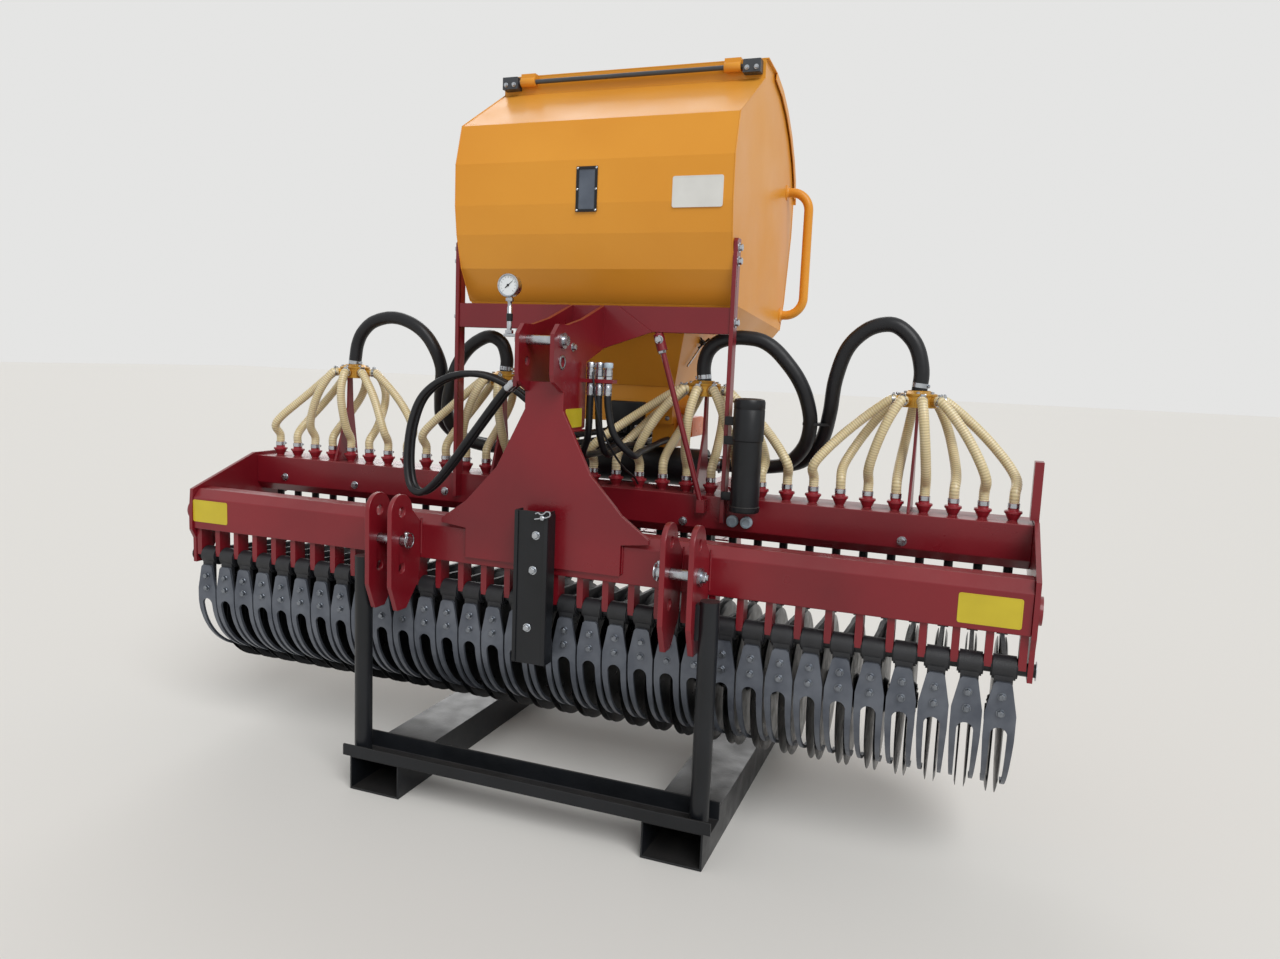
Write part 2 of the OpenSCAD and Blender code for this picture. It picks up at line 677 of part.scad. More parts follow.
// Air hoses: up from each head, over in an arch, down behind the seed hoses and in to the manifold
module air_hoses() {
    inlet = head_z + head_h / 2 + 10;
    port = manifold_x + 40;
    level = manifold_z + 20 - inlet;
    y = [manifold_y - 34, manifold_y + 34];
    far_left = [[head_x(0), head_y, 0], [-914, 350, 29], [-906, 350, 70], [-884, 350, 111],
        [-839, 350, 146], [-765, 350, 161], [-692, 350, 144], [-637, 353, 107], [-604, 362, 55],
        [-594, 380, 1], [-607, 400, -49], [-630, 432, -111], [-636, 456, -176], [-600, 494, -229],
        [-520, 530, -255], [-420, y[1], level], [-port, y[1], level]];
    near_left = [[head_x(1), head_y, 0], [-332, 350, 41], [-350, 350, 88], [-392, 350, 109],
        [-440, 352, 93], [-484, 356, 60], [-524, 364, 10], [-552, 376, -47], [-574, 390, -109],
        [-580, 408, -171], [-548, 440, -231], [-480, 466, -255], [-410, y[0], level],
        [-port, y[0], level]];
    near_right = [[head_x(2), head_y, 0], [324, 350, 41], [332, 350, 79], [350, 350, 103],
        [372, 350, 117], [405, 350, 126], [442, 350, 128], [489, 352, 122], [528, 354, 101],
        [564, 358, 66], [602, 364, 17], [628, 376, -41], [640, 390, -111], [622, 412, -181],
        [568, 440, -236], [490, 464, -255], [410, y[0], level], [port, y[0], level]];
    far_right = [[head_x(3), head_y, 0], [939, 350, 57], [919, 350, 122], [877, 351, 166],
        [836, 352, 176], [784, 355, 158], [735, 361, 106], [706, 374, 18], [692, 402, -78],
        [668, 440, -159], [612, 492, -227], [530, 528, -255], [450, y[1] - 2, level],
        [385, y[1], level], [port, y[1], level]];
    color(black) placed() for (route = [far_left, near_left, near_right, far_right])
        tube(smooth([for (p = route) p + [0, 0, inlet]], 2), air_hose_r, 10, [0, 0, 1], [-sign(route[0][0]), 0, 0]);
}

// Oil hoses: feed and return in a loop left of the mast, and three down from the plugs at its right
module oil_hoses() {
    loop = [[-110, -8, 1200], [-152, -4, 1164], [-250, 12, 1050], [-332, 22, 951], [-400, 30, 880], [-448, 36, 856],
        [-486, 46, 880], [-504, 58, 960], [-500, 72, 1060], [-472, 92, 1145], [-404, 120, 1200], [-318, 150, 1212],
        [-230, 178, 1180], [-150, 198, 1120], [-82, 210, 1058], [-44, 238, 1022], [oil_x, 290, oil_z],
        [oil_x, 460, oil_z], [oil_x, fan_y[0] - 60, oil_z]];
    apart = 24;
    turn = len(loop) - 6;
    start = shelf_z - touch;
    side = fan_x + 25 + touch;
    row = row_pitch;
    plugs = [for (x = plug_x) [x, plug_y, start]];
    upper = [plugs[0], [79, 81, 1140], [70, 96, 1058], [0.5 * row, 142, 1000], [0.5 * row, 210, 994],
        [0.5 * row, 290, 996], [0.5 * row, 380, 1008], [0.5 * row, 460, oil_z + 2], [24, 590, oil_z + 17],
        [4, fan_y[0] - 46, oil_z + 33], [side, fan_y[0] - 40, oil_z + 36]];
    lower = [plugs[1], [106, 80, 1140], [108, 92, 1062], [1.5 * row, 134, 1006], [1.5 * row, 210, 1010],
        [1.5 * row, 290, oil_z], [1.5 * row, 460, oil_z], [96, 590, oil_z + 4], [50, fan_y[0] - 42, oil_z + 10],
        [side, fan_y[0] - 40, oil_z + 12]];
    short = [plugs[2], [134, 82, 1140], [150, 96, 1062], [2.5 * row, 142, 1006], [2.5 * row, 210, 1010],
        [2.5 * row, 290, oil_z], [2.5 * row, 390, oil_z + 10], [2.5 * row, outlet_y[0] + 24 - touch, oil_z + 13]];
    color(black) placed() {
        tube(smooth(loop, 2), oil_hose_r, 8, [-1, 0, 0], [0, 1, 0]);
        tube(smooth([for (i = [0:len(loop) - 1]) loop[i] + (i < turn ? [0, apart, 0] : i == turn ? [0, 22, 6]
            : i == turn + 1 ? [0, 20, 14] : i == turn + 2 ? [0, 14, 22] : [0, 0, apart + 2])], 2), oil_hose_r, 8,
            [-1, 0, 0], [0, 1, 0]);
        tube(smooth(upper, 2), oil_hose_r, 8, [0, 0, -1], [-1, 0, 0]);
        tube(smooth(lower, 2), oil_hose_r, 8, [0, 0, -1], [-1, 0, 0]);
        tube(smooth(short, 2), oil_hose_r, 8, [0, 0, -1], [0, 1, 0]);
    }
}

// Pressure gauge on its pipe, held by a small angle at the left ear of the mast
module pressure_gauge() {
    x = -130;
    y = -8;
    z = 1460;
    half = mast_ear_w / 2;
    color(steel) placed() {
        rod_y(y - 16, y + 14, x, z, 32);
        rod_z(top_pin_z + 15, z - 30, x, y, 7);
        block([x - 12, -half - touch], [y - 12, y + 12], [top_pin_z + 7, top_pin_z + 15]);
    }
}

// Document tube with its cap, clamped on the front of the rear beam
module document_tube() {
    color(black) placed() {
        rod_z(868, 1150, doc_x, doc_y, doc_r);
        rod_z(1150, 1172, doc_x, doc_y, doc_r + 2);
        translate([doc_x, doc_y, 1172]) cylinder(h = 8, r1 = doc_r + 2, r2 = doc_r - 8);
        block([doc_x - 24, doc_x + 24], [doc_y + 20, rear_beam_y], [868, 888]);
    }
}

// Coupling caps on the rear beam's face, and the plugs of the three hoses on their plate at the mast
module coupling_caps() {
    color("#c9d2d8") placed() {
        for (out = [32, 73]) rod_y(rear_beam_y - 16, rear_beam_y - touch, half_hopper + out, 829, 17);
        for (x = plug_x) rod_z(shelf_z + shelf_t + touch, shelf_z + shelf_t + 46, x, plug_y, 12);
    }
}

module arm_tube() {
    color("#2d3138") placed() rod_x(-frame_w / 2 - 6, frame_w / 2 + 6, 0, arm_tube_z, arm_tube_r);
}

// Fins: slats between the rows, from the front beam down to a saddle on the arm tube
module fins() {
    color(red) placed() difference() {
        for (i = [0:row_count]) block([row_x(i) - row_pitch / 2 - 9, row_x(i) - row_pitch / 2 + 9], [-22, 22],
            [arm_tube_z + 2, front_beam_z]);
        rod_x(-inner_w, inner_w, 0, arm_tube_z, arm_tube_r + pin_clear);
    }
}

// Coulter arm: rubber-bushed clamp on the tube, flange for the fork, plate down to the disc axle and seed boot
module coulter_arms() {
    color(black) placed() for (i = [0:row_count - 1]) translate([row_x(i), 0, 0]) coulter_arm();
}

module coulter_arm() {
    inner = disc_gap / 2 - touch;
    plate = [[0, 614], [150, 604], [320, 596], [330, 584], [300, 560], [disc_y + 26, disc_z + 20],
        [disc_y + 20, disc_z - 20], [disc_y - 20, disc_z - 20], [disc_y - 26, disc_z + 10], [160, 520], [20, 566]];
    difference() {
        union() {
            across(52) circle_at([0, arm_tube_z], 29);
            across(disc_gap - 10) polygon(plate);
            block([-21, 21], [-25, -12], [470, 580]);
            block([-14, 14], [spout_y - 14, spout_y + 14], [590, 606]);
            rod_x(-inner, inner, disc_y, disc_z, 30);
            rod_x(-disc_gap / 2 - 18, disc_gap / 2 + 18, disc_y, disc_z, axle_r);
            for (s = [-1, 1]) rod_x(s * 26.3 - 2, s * 26.3 + 2, disc_y, disc_z, 21);
        }
        rod_x(-30, 30, 0, arm_tube_z, arm_tube_r + pin_clear);
    }
}

module circle_at(p, r) {
    translate(p) circle(r);
}

// Fork in front of each disc pair: a bent plate with two legs that curve back beside the discs
module coulter_forks() {
    color(fork_grey) placed() for (i = [0:row_count - 1]) translate([row_x(i), 0, 0]) coulter_fork();
}

module coulter_fork() {
    y1 = -25;
    bend_z = 460;
    bend_r = 217;
    top = 562;
    tip = 245;
    leg_tip = 8;
    slot_top = 452;
    intersection() {
        across(fork_w + 2) union() {
            translate([y1 - fork_t, bend_z]) square([fork_t, top - bend_z]);
            intersection() {
                translate([y1 - fork_t + bend_r, bend_z]) difference() {
                    circle(bend_r, $fn = 96);
                    circle(bend_r - fork_t, $fn = 96);
                }
                translate([y1 - fork_t - 1, tip]) square([bend_r - 20, bend_z - tip]);
            }
        }
        facing(-60, 320) difference() {
            polygon([[-21, top - 6], [-15, top], [15, top], [21, top - 6], [fork_w / 2, 484],
                [fork_w / 2, slot_top - 30], [fork_slot / 2 + leg_tip, tip], [-fork_slot / 2 - leg_tip, tip],
                [-fork_w / 2, slot_top - 30], [-fork_w / 2, 484]]);
            translate([0, slot_top - fork_slot / 2]) circle(fork_slot / 2);
            translate([-fork_slot / 2, tip - 1]) square([fork_slot, slot_top - fork_slot / 2 - tip + 1]);
        }
    }
}

// Disc pairs: flat discs with a bevelled rim and a bearing cap, free on the axles
module coulter_discs() {
    half = disc_gap / 2;
    color("#33373d") placed() for (i = [0:row_count - 1]) for (s = [0, 1])
        translate([row_x(i), disc_y, disc_z]) rotate([0, 90, 0]) mirror([0, 0, s]) rotate_extrude($fn = 96)
            polygon([[axle_r + pin_clear, half], [disc_r, half], [disc_r, half + 0.8], [disc_r - 12, half + disc_t],
                [50, half + disc_t], [42, half + 14], [axle_r + pin_clear, half + 14]]);
}

// Drop tubes from the rear beam to the seed boots
module seed_drops() {
    color(black) placed() for (i = [0:row_count - 1])
        rod_z(606, rear_top - beam_wall, row_x(i), spout_y, seed_drop_r);
}

// Guide on the mast's foot and the sliding stand that runs over it
module stand_guide() {
    y = front_beam_y - mast_t;
    color(black) placed() difference() {
        block([-stand_w / 2 + stand_t + slide_clear, stand_w / 2 - stand_t - slide_clear], [stand_y + stand_t + 1, y],
            [580, 850]);
        block([-stand_w / 2 + 14, stand_w / 2 - 14], [stand_y + stand_t + 7, y - 6], [579, 851]);
    }
}

module parking_stand() {
    color(black) placed() difference() {
        block([-stand_w / 2, stand_w / 2], [stand_y, stand_y + 40], [440, 862]);
        block([-stand_w / 2 + stand_t, stand_w / 2 - stand_t], [stand_y + stand_t, stand_y + 41], [446, 863]);
    }
}

// Skid: two fork pockets, the cross channel on them and the four props that hold the machine
module skid_pockets() {
    color(black) placed() both_sides() translate([pocket_span / 2, 0, 0]) difference() {
        block([-pocket_w / 2, pocket_w / 2], [pocket_y, pocket_y + pocket_l], [0, pocket_h]);
        block([-pocket_w / 2 + pocket_wall, pocket_w / 2 - pocket_wall], [pocket_y - 1, pocket_y + pocket_l + 1],
            [pocket_wall, pocket_h - pocket_wall]);
    }
}

module skid_cross() {
    color(black) placed() {
        across(2 * cross_x) polygon([[pocket_y - 6, pocket_h], [pocket_y - 6, pocket_h + 34], [pocket_y, pocket_h + 34],
            [pocket_y, pocket_h + 6], [pocket_y + 74, pocket_h + 6], [pocket_y + 74, pocket_h + 54],
            [pocket_y + 80, pocket_h + 54], [pocket_y + 80, pocket_h]]);
        across(2 * cross_x) polygon([[rear_prop_y - 40, pocket_h], [rear_prop_y - 40, pocket_h + 50],
            [rear_prop_y - 34, pocket_h + 50], [rear_prop_y - 34, pocket_h + 6], [rear_prop_y + 34, pocket_h + 6],
            [rear_prop_y + 34, pocket_h + 50], [rear_prop_y + 40, pocket_h + 50], [rear_prop_y + 40, pocket_h]]);
    }
}

module skid_props() {
    color(black) placed() both_sides() {
        rod_z(pocket_h + 6, 690, prop_x, prop_y, prop_r);
        block([hitch_x + (hitch_plate_gap + hitch_plate_t) / 2, prop_x], [prop_y - 12, prop_y + 12], [590, 680]);
        rod_z(pocket_h + 6, rear_beam_z + 30, carrier_x - 20, rear_prop_y, prop_r);
    }
}

front_beam();
rear_beam();
end_plates();
hitch_plates();
mast();
mast_ears();
hitch_pins();
hopper_posts();
hopper_crossbar();
hopper_strut();
hopper_body();
hopper_funnel();
sight_window();
grab_handle();
lid_hinge();
hopper_lid();
metering_housing();
air_manifold();
fan_housing();
fan_rotor();
fan_motor();
carrier_arms();
step_sides();
step_treads();
head_brackets();
distributor_heads();
seed_spouts();
seed_hoses_left();
seed_hoses_right();
air_hoses();
oil_hoses();
pressure_gauge();
document_tube();
coupling_caps();
arm_tube();
fins();
coulter_arms();
coulter_forks();
coulter_discs();
seed_drops();
stand_guide();
parking_stand();
skid_pockets();
skid_cross();
skid_props();
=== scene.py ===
"""Dressed model of a mounted pneumatic seed drill that stands on its storage skid."""

import logging
import math
from dataclasses import dataclass, field
from enum import Enum
from typing import Callable, Sequence

import bmesh
import bpy
from mathutils import Matrix, Vector


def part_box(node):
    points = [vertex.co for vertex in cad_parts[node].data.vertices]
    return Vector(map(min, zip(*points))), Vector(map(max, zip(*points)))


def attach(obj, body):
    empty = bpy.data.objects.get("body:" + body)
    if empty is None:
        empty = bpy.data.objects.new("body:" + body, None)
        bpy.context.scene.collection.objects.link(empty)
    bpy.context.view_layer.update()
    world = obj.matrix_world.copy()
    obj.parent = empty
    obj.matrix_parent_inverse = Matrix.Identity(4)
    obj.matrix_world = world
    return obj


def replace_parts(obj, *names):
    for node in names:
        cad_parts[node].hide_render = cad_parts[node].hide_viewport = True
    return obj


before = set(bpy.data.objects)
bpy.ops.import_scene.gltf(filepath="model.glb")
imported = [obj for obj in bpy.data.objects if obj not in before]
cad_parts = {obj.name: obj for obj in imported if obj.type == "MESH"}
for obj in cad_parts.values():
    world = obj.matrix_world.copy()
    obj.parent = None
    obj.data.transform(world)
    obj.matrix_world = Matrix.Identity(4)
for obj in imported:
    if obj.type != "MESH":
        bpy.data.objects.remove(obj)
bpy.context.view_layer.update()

log = logging.getLogger("seed_drill")
logging.basicConfig(level=logging.INFO, format="%(message)s")

# Places are counted from the fork bolts, and the solids are centred along Y, this far further back
MID_Y = 0.4175
MM = 0.001
SIDES = (-1, 1)

# A face looks in a direction when its normal's share along it is above this
FACING = 0.98
# Edges of a new piece that are sharper than this are rounded, and a step that goes straight up still needs
# this much inset, in millimetres
ROUNDED_DEGREES = 40.0
LEAST_INSET = 0.001

# Colour sockets of a mix node: the two that go in, and the one that comes out
MIX_UNDER, MIX_OVER, MIX_RESULT = 6, 7, 2

Obj = bpy.types.Object
Tree = bpy.types.NodeTree
Socket = bpy.types.NodeSocket
Spot = tuple[float, float, float]


class Body(str, Enum):
    """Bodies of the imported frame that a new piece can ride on."""

    MACHINE = "machine"
    LID = "lid"
    STAND = "stand"
    DISCS = "discs"


class Slot(str, Enum):
    """Material slots of the record that the finishes stand for."""

    RED = "red_paint"
    HOPPER = "hopper_paint"
    STEEL = "steel"
    WINDOW = "window"
    PLASTIC = "black_plastic"
    BLACK = "black_paint"
    HEAD = "head_metal"
    CUP = "spout_plastic"
    SEED = "seed_hose"
    RUBBER = "black_rubber"
    CAP = "cap_plastic"
    FORK = "fork_steel"
    DISC = "disc_steel"


class Axis(Enum):
    """Directions in which a round or hexagonal piece can point."""

    X = Vector((1, 0, 0))
    Y = Vector((0, 1, 0))
    Z = Vector((0, 0, 1))
    FRONT = Vector((0, -1, 0))
    LEFT = Vector((-1, 0, 0))
    DOWN = Vector((0, 0, -1))


# Directions of a pair of pieces that point away from the machine at its left and its right
OUTWARDS = (Axis.LEFT.value, Axis.X.value)


def place(x: float, y: float, z: float) -> Vector:
    """Turns millimetres counted from the fork bolts into a point of the frame in metres.

    Args:
        x: Across the rows.
        y: Towards the rear, from the fork bolts.
        z: Above the floor.

    Returns:
        The point in metres.
    """
    return Vector((x * MM, y * MM - MID_Y, z * MM))


@dataclass(frozen=True)
class Extent:
    """How far a solid of the frame reaches, in millimetres from the fork bolts."""

    left: float
    front: float
    foot: float
    right: float
    rear: float
    top: float

    @property
    def middle(self) -> Spot:
        """Middle of the solid's box."""
        return (self.left + self.right) / 2, (self.front + self.rear) / 2, (self.foot + self.top) / 2


def extent(node: str) -> Extent:
    """Reads how far a solid reaches, to a tenth of a millimetre.

    Args:
        node: Name of the solid.

    Returns:
        Its reach to each side.
    """
    corners = [value for x, y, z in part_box(node) for value in (x, y + MID_Y, z)]
    return Extent(*(round(value / MM, 1) for value in corners))


def linear(hex_colour: str) -> tuple[float, float, float, float]:
    """Turns an sRGB hex colour into linear RGBA.

    Args:
        hex_colour: Six hexadecimal digits after a hash sign.

    Returns:
        Linear red, green, blue and an alpha of one.
    """
    parts = [int(hex_colour[i : i + 2], 16) / 255 for i in (1, 3, 5)]
    red, green, blue = (v / 12.92 if v <= 0.04045 else ((v + 0.055) / 1.055) ** 2.4 for v in parts)
    return red, green, blue, 1.0


def add_node(tree: Tree, kind: str, inputs: dict | None = None, **settings: object) -> bpy.types.Node:
    """Adds one shader node with its settings, values and links.

    Args:
        tree: Node tree to add to.
        kind: Type name of the node.
        inputs: Socket name or number to a value, or to the output socket that feeds it.
        settings: Attributes of the node.

    Returns:
        The new node.
    """
    node = tree.nodes.new(kind)
    for name, value in settings.items():
        setattr(node, name, value)
    for name, value in (inputs or {}).items():
        if isinstance(value, Socket):
            tree.links.new(value, node.inputs[name])
        else:
            node.inputs[name].default_value = value
    return node


@dataclass(frozen=True)
class Finish:
    """A finish: the colour that light shows, how rough it is, and the unevenness that its making leaves.

    Colour drifts between colour and shade in soft patches of patch_mm, and the roughness drifts over
    finer ones. Bumps of grain_mm stand up by bump, a sheet also bulges by wave, some waves_per_m, and
    dust settles on faces that look up.
    """

    name: str
    slot: Slot
    colour: str
    shade: str
    roughness: float
    metallic: float = 0.0
    patch_mm: float = 180.0
    grain_mm: float = 6.0
    bump: float = 0.05
    wave: float = 0.0
    waves_per_m: float = 3.3
    wave_depth_mm: float = 50.0
    rough_spread: float = 0.08
    rough_finer: float = 2.6
    dust: float = 0.0
    dust_colour: str = "#b9a99a"
    dust_spots_per_m: float = 14.0
    coat: float = 0.0
    coat_roughness: float = 0.12
    specular: float = 0.5

    def material(self) -> bpy.types.Material:
        """Makes the material, or finds it if it has been made.

        Returns:
            The material.
        """
        made = bpy.data.materials.get(self.name)
        if made:
            return made
        made = bpy.data.materials.new(self.name)
        made.use_nodes = True
        tree = made.node_tree
        tree.nodes.clear()
        where = add_node(tree, "ShaderNodeTexCoord").outputs["Object"]
        colour = self.patches(tree, where)
        rough = self.unevenness(tree, where)
        if self.dust:
            colour = self.dusted(tree, where, colour)
        shader = add_node(tree, "ShaderNodeBsdfPrincipled", {
            "Base Color": colour, "Roughness": rough, "Metallic": self.metallic,
            "Coat Weight": self.coat, "Coat Roughness": self.coat_roughness,
            "Specular IOR Level": self.specular, "Normal": self.relief(tree, where),
        })
        self.extra(tree, shader)
        add_node(tree, "ShaderNodeOutputMaterial", {"Surface": shader.outputs[0]})
        return made

    def patches(self, tree: Tree, where: Socket) -> Socket:
        """Adds the soft drift between the two colours.

        Args:
            tree: The material's nodes.
            where: Object coordinates.

        Returns:
            The colour.
        """
        noise = add_node(tree, "ShaderNodeTexNoise", {
            "Vector": where, "Scale": 1000 / self.patch_mm, "Detail": 4.0,
        })
        spread_out = add_node(tree, "ShaderNodeMapRange", {
            "Value": noise.outputs[0], "From Min": 0.35, "From Max": 0.68,
        })
        return add_node(tree, "ShaderNodeMix", {
            "Factor": spread_out.outputs[0], MIX_UNDER: linear(self.colour), MIX_OVER: linear(self.shade),
        }, data_type="RGBA").outputs[MIX_RESULT]

    def unevenness(self, tree: Tree, where: Socket) -> Socket:
        """Adds the spread of roughness that wiping and weather leave.

        Args:
            tree: The material's nodes.
            where: Object coordinates.

        Returns:
            The roughness.
        """
        noise = add_node(tree, "ShaderNodeTexNoise", {
            "Vector": where, "Scale": 1000 * self.rough_finer / self.patch_mm, "Detail": 6.0,
        })
        return add_node(tree, "ShaderNodeMapRange", {
            "Value": noise.outputs[0], "From Min": 0.3, "From Max": 0.7,
            "To Min": self.roughness - self.rough_spread, "To Max": self.roughness + self.rough_spread,
        }).outputs[0]

    def relief(self, tree: Tree, where: Socket) -> Socket:
        """Adds the fine bumps of the surface, over the slow bulges of a sheet.

        Args:
            tree: The material's nodes.
            where: Object coordinates.

        Returns:
            The normal.
        """
        grain = add_node(tree, "ShaderNodeTexNoise", {
            "Vector": where, "Scale": 1000 / self.grain_mm, "Detail": 2.0,
        })
        bumps = {"Height": grain.outputs[0], "Strength": self.bump, "Distance": self.grain_mm * MM}
        if self.wave:
            slow = add_node(tree, "ShaderNodeTexNoise", {
                "Vector": where, "Scale": self.waves_per_m, "Detail": 1.0,
            })
            bumps["Normal"] = add_node(tree, "ShaderNodeBump", {
                "Height": slow.outputs[0], "Strength": self.wave, "Distance": self.wave_depth_mm * MM,
            }).outputs[0]
        return add_node(tree, "ShaderNodeBump", bumps).outputs[0]

    def dusted(self, tree: Tree, where: Socket, colour: Socket) -> Socket:
        """Adds a thin coat of dust on faces that look up.

        Args:
            tree: The material's nodes.
            where: Object coordinates.
            colour: The colour below the dust.

        Returns:
            The colour with the dust.
        """
        facing = add_node(tree, "ShaderNodeNewGeometry").outputs["Normal"]
        up = add_node(tree, "ShaderNodeSeparateXYZ", {"Vector": facing})
        level = add_node(tree, "ShaderNodeMapRange", {
            "Value": up.outputs[2], "From Min": 0.3, "From Max": 1.0, "To Min": 0.0, "To Max": self.dust,
        })
        noise = add_node(tree, "ShaderNodeTexNoise", {
            "Vector": where, "Scale": self.dust_spots_per_m, "Detail": 5.0,
        })
        amount = add_node(tree, "ShaderNodeMath", {0: level.outputs[0], 1: noise.outputs[0]},
                          operation="MULTIPLY")
        return add_node(tree, "ShaderNodeMix", {
            "Factor": amount.outputs[0], MIX_UNDER: colour, MIX_OVER: linear(self.dust_colour),
        }, data_type="RGBA").outputs[MIX_RESULT]

    def extra(self, tree: Tree, shader: bpy.types.Node) -> None:
        """Adds what only a special finish has; a plain one has nothing more."""


@dataclass(frozen=True)
class RibbedHose(Finish):
    """Milky flexible PVC with a stiff spiral: light passes through its wall, and its grooves get painted
    shade.
    """

    # Colour of the shade painted into the grooves between the ribs
    painted_groove_shade: str = "#bcab83"
    glow: float = 0.35
    glow_depth_mm: float = 6.0
    glow_reach: tuple[float, float, float] = (1.0, 0.8, 0.45)

    def patches(self, tree: Tree, where: Socket) -> Socket:
        """Paints shade into the grooves between the ribs, which the mesh marks ring by ring.

        Args:
            tree: The material's nodes.
            where: Object coordinates.

        Returns:
            The colour.
        """
        base = super().patches(tree, where)
        # Painted shade: the rings in the grooves take a darker colour
        mark = add_node(tree, "ShaderNodeAttribute", attribute_name="painted_groove_shade").outputs["Fac"]
        return add_node(tree, "ShaderNodeMix", {
            "Factor": mark, MIX_UNDER: base, MIX_OVER: linear(self.painted_groove_shade),
        }, data_type="RGBA").outputs[MIX_RESULT]

    def extra(self, tree: Tree, shader: bpy.types.Node) -> None:
        """Lets light spread inside the wall.

        Args:
            tree: The material's nodes; not used.
            shader: The material's shader.
        """
        shader.inputs["Subsurface Weight"].default_value = self.glow
        shader.inputs["Subsurface Scale"].default_value = self.glow_depth_mm * MM
        shader.inputs["Subsurface Radius"].default_value = self.glow_reach


@dataclass(frozen=True)
class SmokedPane(Finish):
    """Smoked acrylic: dark, smooth and glossy."""

    refraction: float = 1.49

    def extra(self, tree: Tree, shader: bpy.types.Node) -> None:
        """Gives the pane acrylic's own refraction."""
        shader.inputs["IOR"].default_value = self.refraction


# Powder coat over welded steel: a deep even red with a soft orange peel and clear highlights
RED_COAT = Finish("powder_coat_ruby", Slot.RED, "#7f1420", "#6b101b", 0.33, patch_mm=420, grain_mm=7,
                  bump=0.04, wave=0.02, dust=0.16, dust_colour="#a8857e", coat=0.2, specular=0.42)
# Sprayed gloss enamel on sheet: warm melon yellow, slightly uneven over large panels
MELON_ENAMEL = Finish("enamel_melon", Slot.HOPPER, "#e09a35", "#d78f2c", 0.36, patch_mm=600, grain_mm=9,
                      bump=0.03, wave=0.05, dust=0.1, dust_colour="#e0c48e", coat=0.06, specular=0.3)
# Moulded orange polyamide: even and slightly glossy
ORANGE_COVER = Finish("polyamide_orange", Slot.HOPPER, "#dd6a1c", "#d0601a", 0.34, patch_mm=60,
                      grain_mm=2, bump=0.03)
# Black enamel on the skid and tubes: slightly dulled, dusty on top
BLACK_ENAMEL = Finish("enamel_black", Slot.BLACK, "#131518", "#1a1c20", 0.36, patch_mm=150, grain_mm=5,
                      bump=0.06, dust=0.3, dust_colour="#5f5a54", specular=0.36)
# Dark grey enamel on the lid's hinge: satin, with some dust
GREY_ENAMEL = Finish("enamel_graphite", Slot.BLACK, "#40454b", "#383c42", 0.35, patch_mm=80, grain_mm=4,
                     bump=0.05, dust=0.2)
# Laser-cut plate with its mill scale: blue grey with cloudy lighter patches
MILL_SCALE = Finish("plate_mill_scale", Slot.FORK, "#6a6f78", "#555a64", 0.42, metallic=0.55,
                    patch_mm=60, grain_mm=3, bump=0.06)
# Boron steel discs, hardened dark with a faint sheen
DISC_STEEL = Finish("boron_steel", Slot.DISC, "#26282c", "#1e2023", 0.34, metallic=0.7, patch_mm=90,
                    grain_mm=3, bump=0.04)
# Zinc plate on pins, rods and bolts: bright with a faint blue tinge
ZINC = Finish("zinc_plate", Slot.STEEL, "#c3c7cc", "#a9aeb5", 0.26, metallic=1.0, patch_mm=30,
              grain_mm=2, bump=0.03)
# Oiled bolts of the coulters: darker and duller than zinc
OILED_STEEL = Finish("steel_oiled", Slot.STEEL, "#8a8f96", "#6f747c", 0.34, metallic=1.0, patch_mm=12,
                     grain_mm=1.5, bump=0.05)
# Cast iron under black paint: grainy, with hardly any shine
CAST_BLACK = Finish("cast_iron_painted", Slot.BLACK, "#191a1d", "#222327", 0.5, patch_mm=40, grain_mm=3,
                    bump=0.22)
# Die-cast distributor bodies with a yellow passivation: soft golden metal
GOLD_CAST = Finish("cast_yellow_passivated", Slot.HEAD, "#c99a3c", "#b5832c", 0.38, metallic=0.45,
                   patch_mm=40, grain_mm=3, bump=0.1)
# Moulded dark red polymer of the seed cups: smooth, with a soft shine
CUP_PLASTIC = Finish("polymer_ruby", Slot.CUP, "#8f1c28", "#7d1722", 0.36, patch_mm=40, grain_mm=2,
                     bump=0.03)
# Extruded PVC with a stiff spiral: cream ribs, with shade painted into the grooves between them
SEED_HOSE = RibbedHose("pvc_cream_spiral", Slot.SEED, "#e9dab6", "#dccda2", 0.33, patch_mm=70,
                       grain_mm=3, bump=0.04)
# Extruded black rubber: a dull sheen along the top
RUBBER = Finish("rubber_extruded", Slot.RUBBER, "#131417", "#1a1b1f", 0.42, patch_mm=60, grain_mm=2,
                bump=0.08, specular=0.36)
# Moulded black polyethylene: waxy, finely textured
BLACK_POLY = Finish("polyethylene_black", Slot.PLASTIC, "#101215", "#17191d", 0.38, patch_mm=80,
                    grain_mm=2, bump=0.06, dust=0.12, specular=0.34)
# Pale moulded caps: smooth and slightly glossy
CAP_PLASTIC = Finish("polymer_pale", Slot.CAP, "#b9cbd6", "#a5b9c6", 0.28, patch_mm=30, grain_mm=2,
                     bump=0.02)
# Satin vinyl film, left blank: yellow
YELLOW_FILM = Finish("vinyl_yellow", Slot.CAP, "#c9b52a", "#bfab26", 0.4, patch_mm=90, grain_mm=4,
                     bump=0.02)
# The same film in white
WHITE_FILM = Finish("vinyl_white", Slot.CAP, "#dcdcd8", "#d2d2ce", 0.4, patch_mm=90, grain_mm=4,
                    bump=0.02)
# Enamelled dial of the gauge: clean white, nearly smooth
DIAL_WHITE = Finish("enamel_white", Slot.CAP, "#e4e8ea", "#dde2e5", 0.3, patch_mm=40, grain_mm=2,
                    bump=0.01)
# Smoked acrylic sight glass: dark and mirror smooth
PANE = SmokedPane("acrylic_smoked", Slot.WINDOW, "#59616e", "#4a525f", 0.14, patch_mm=60, grain_mm=8,
                  bump=0.01)

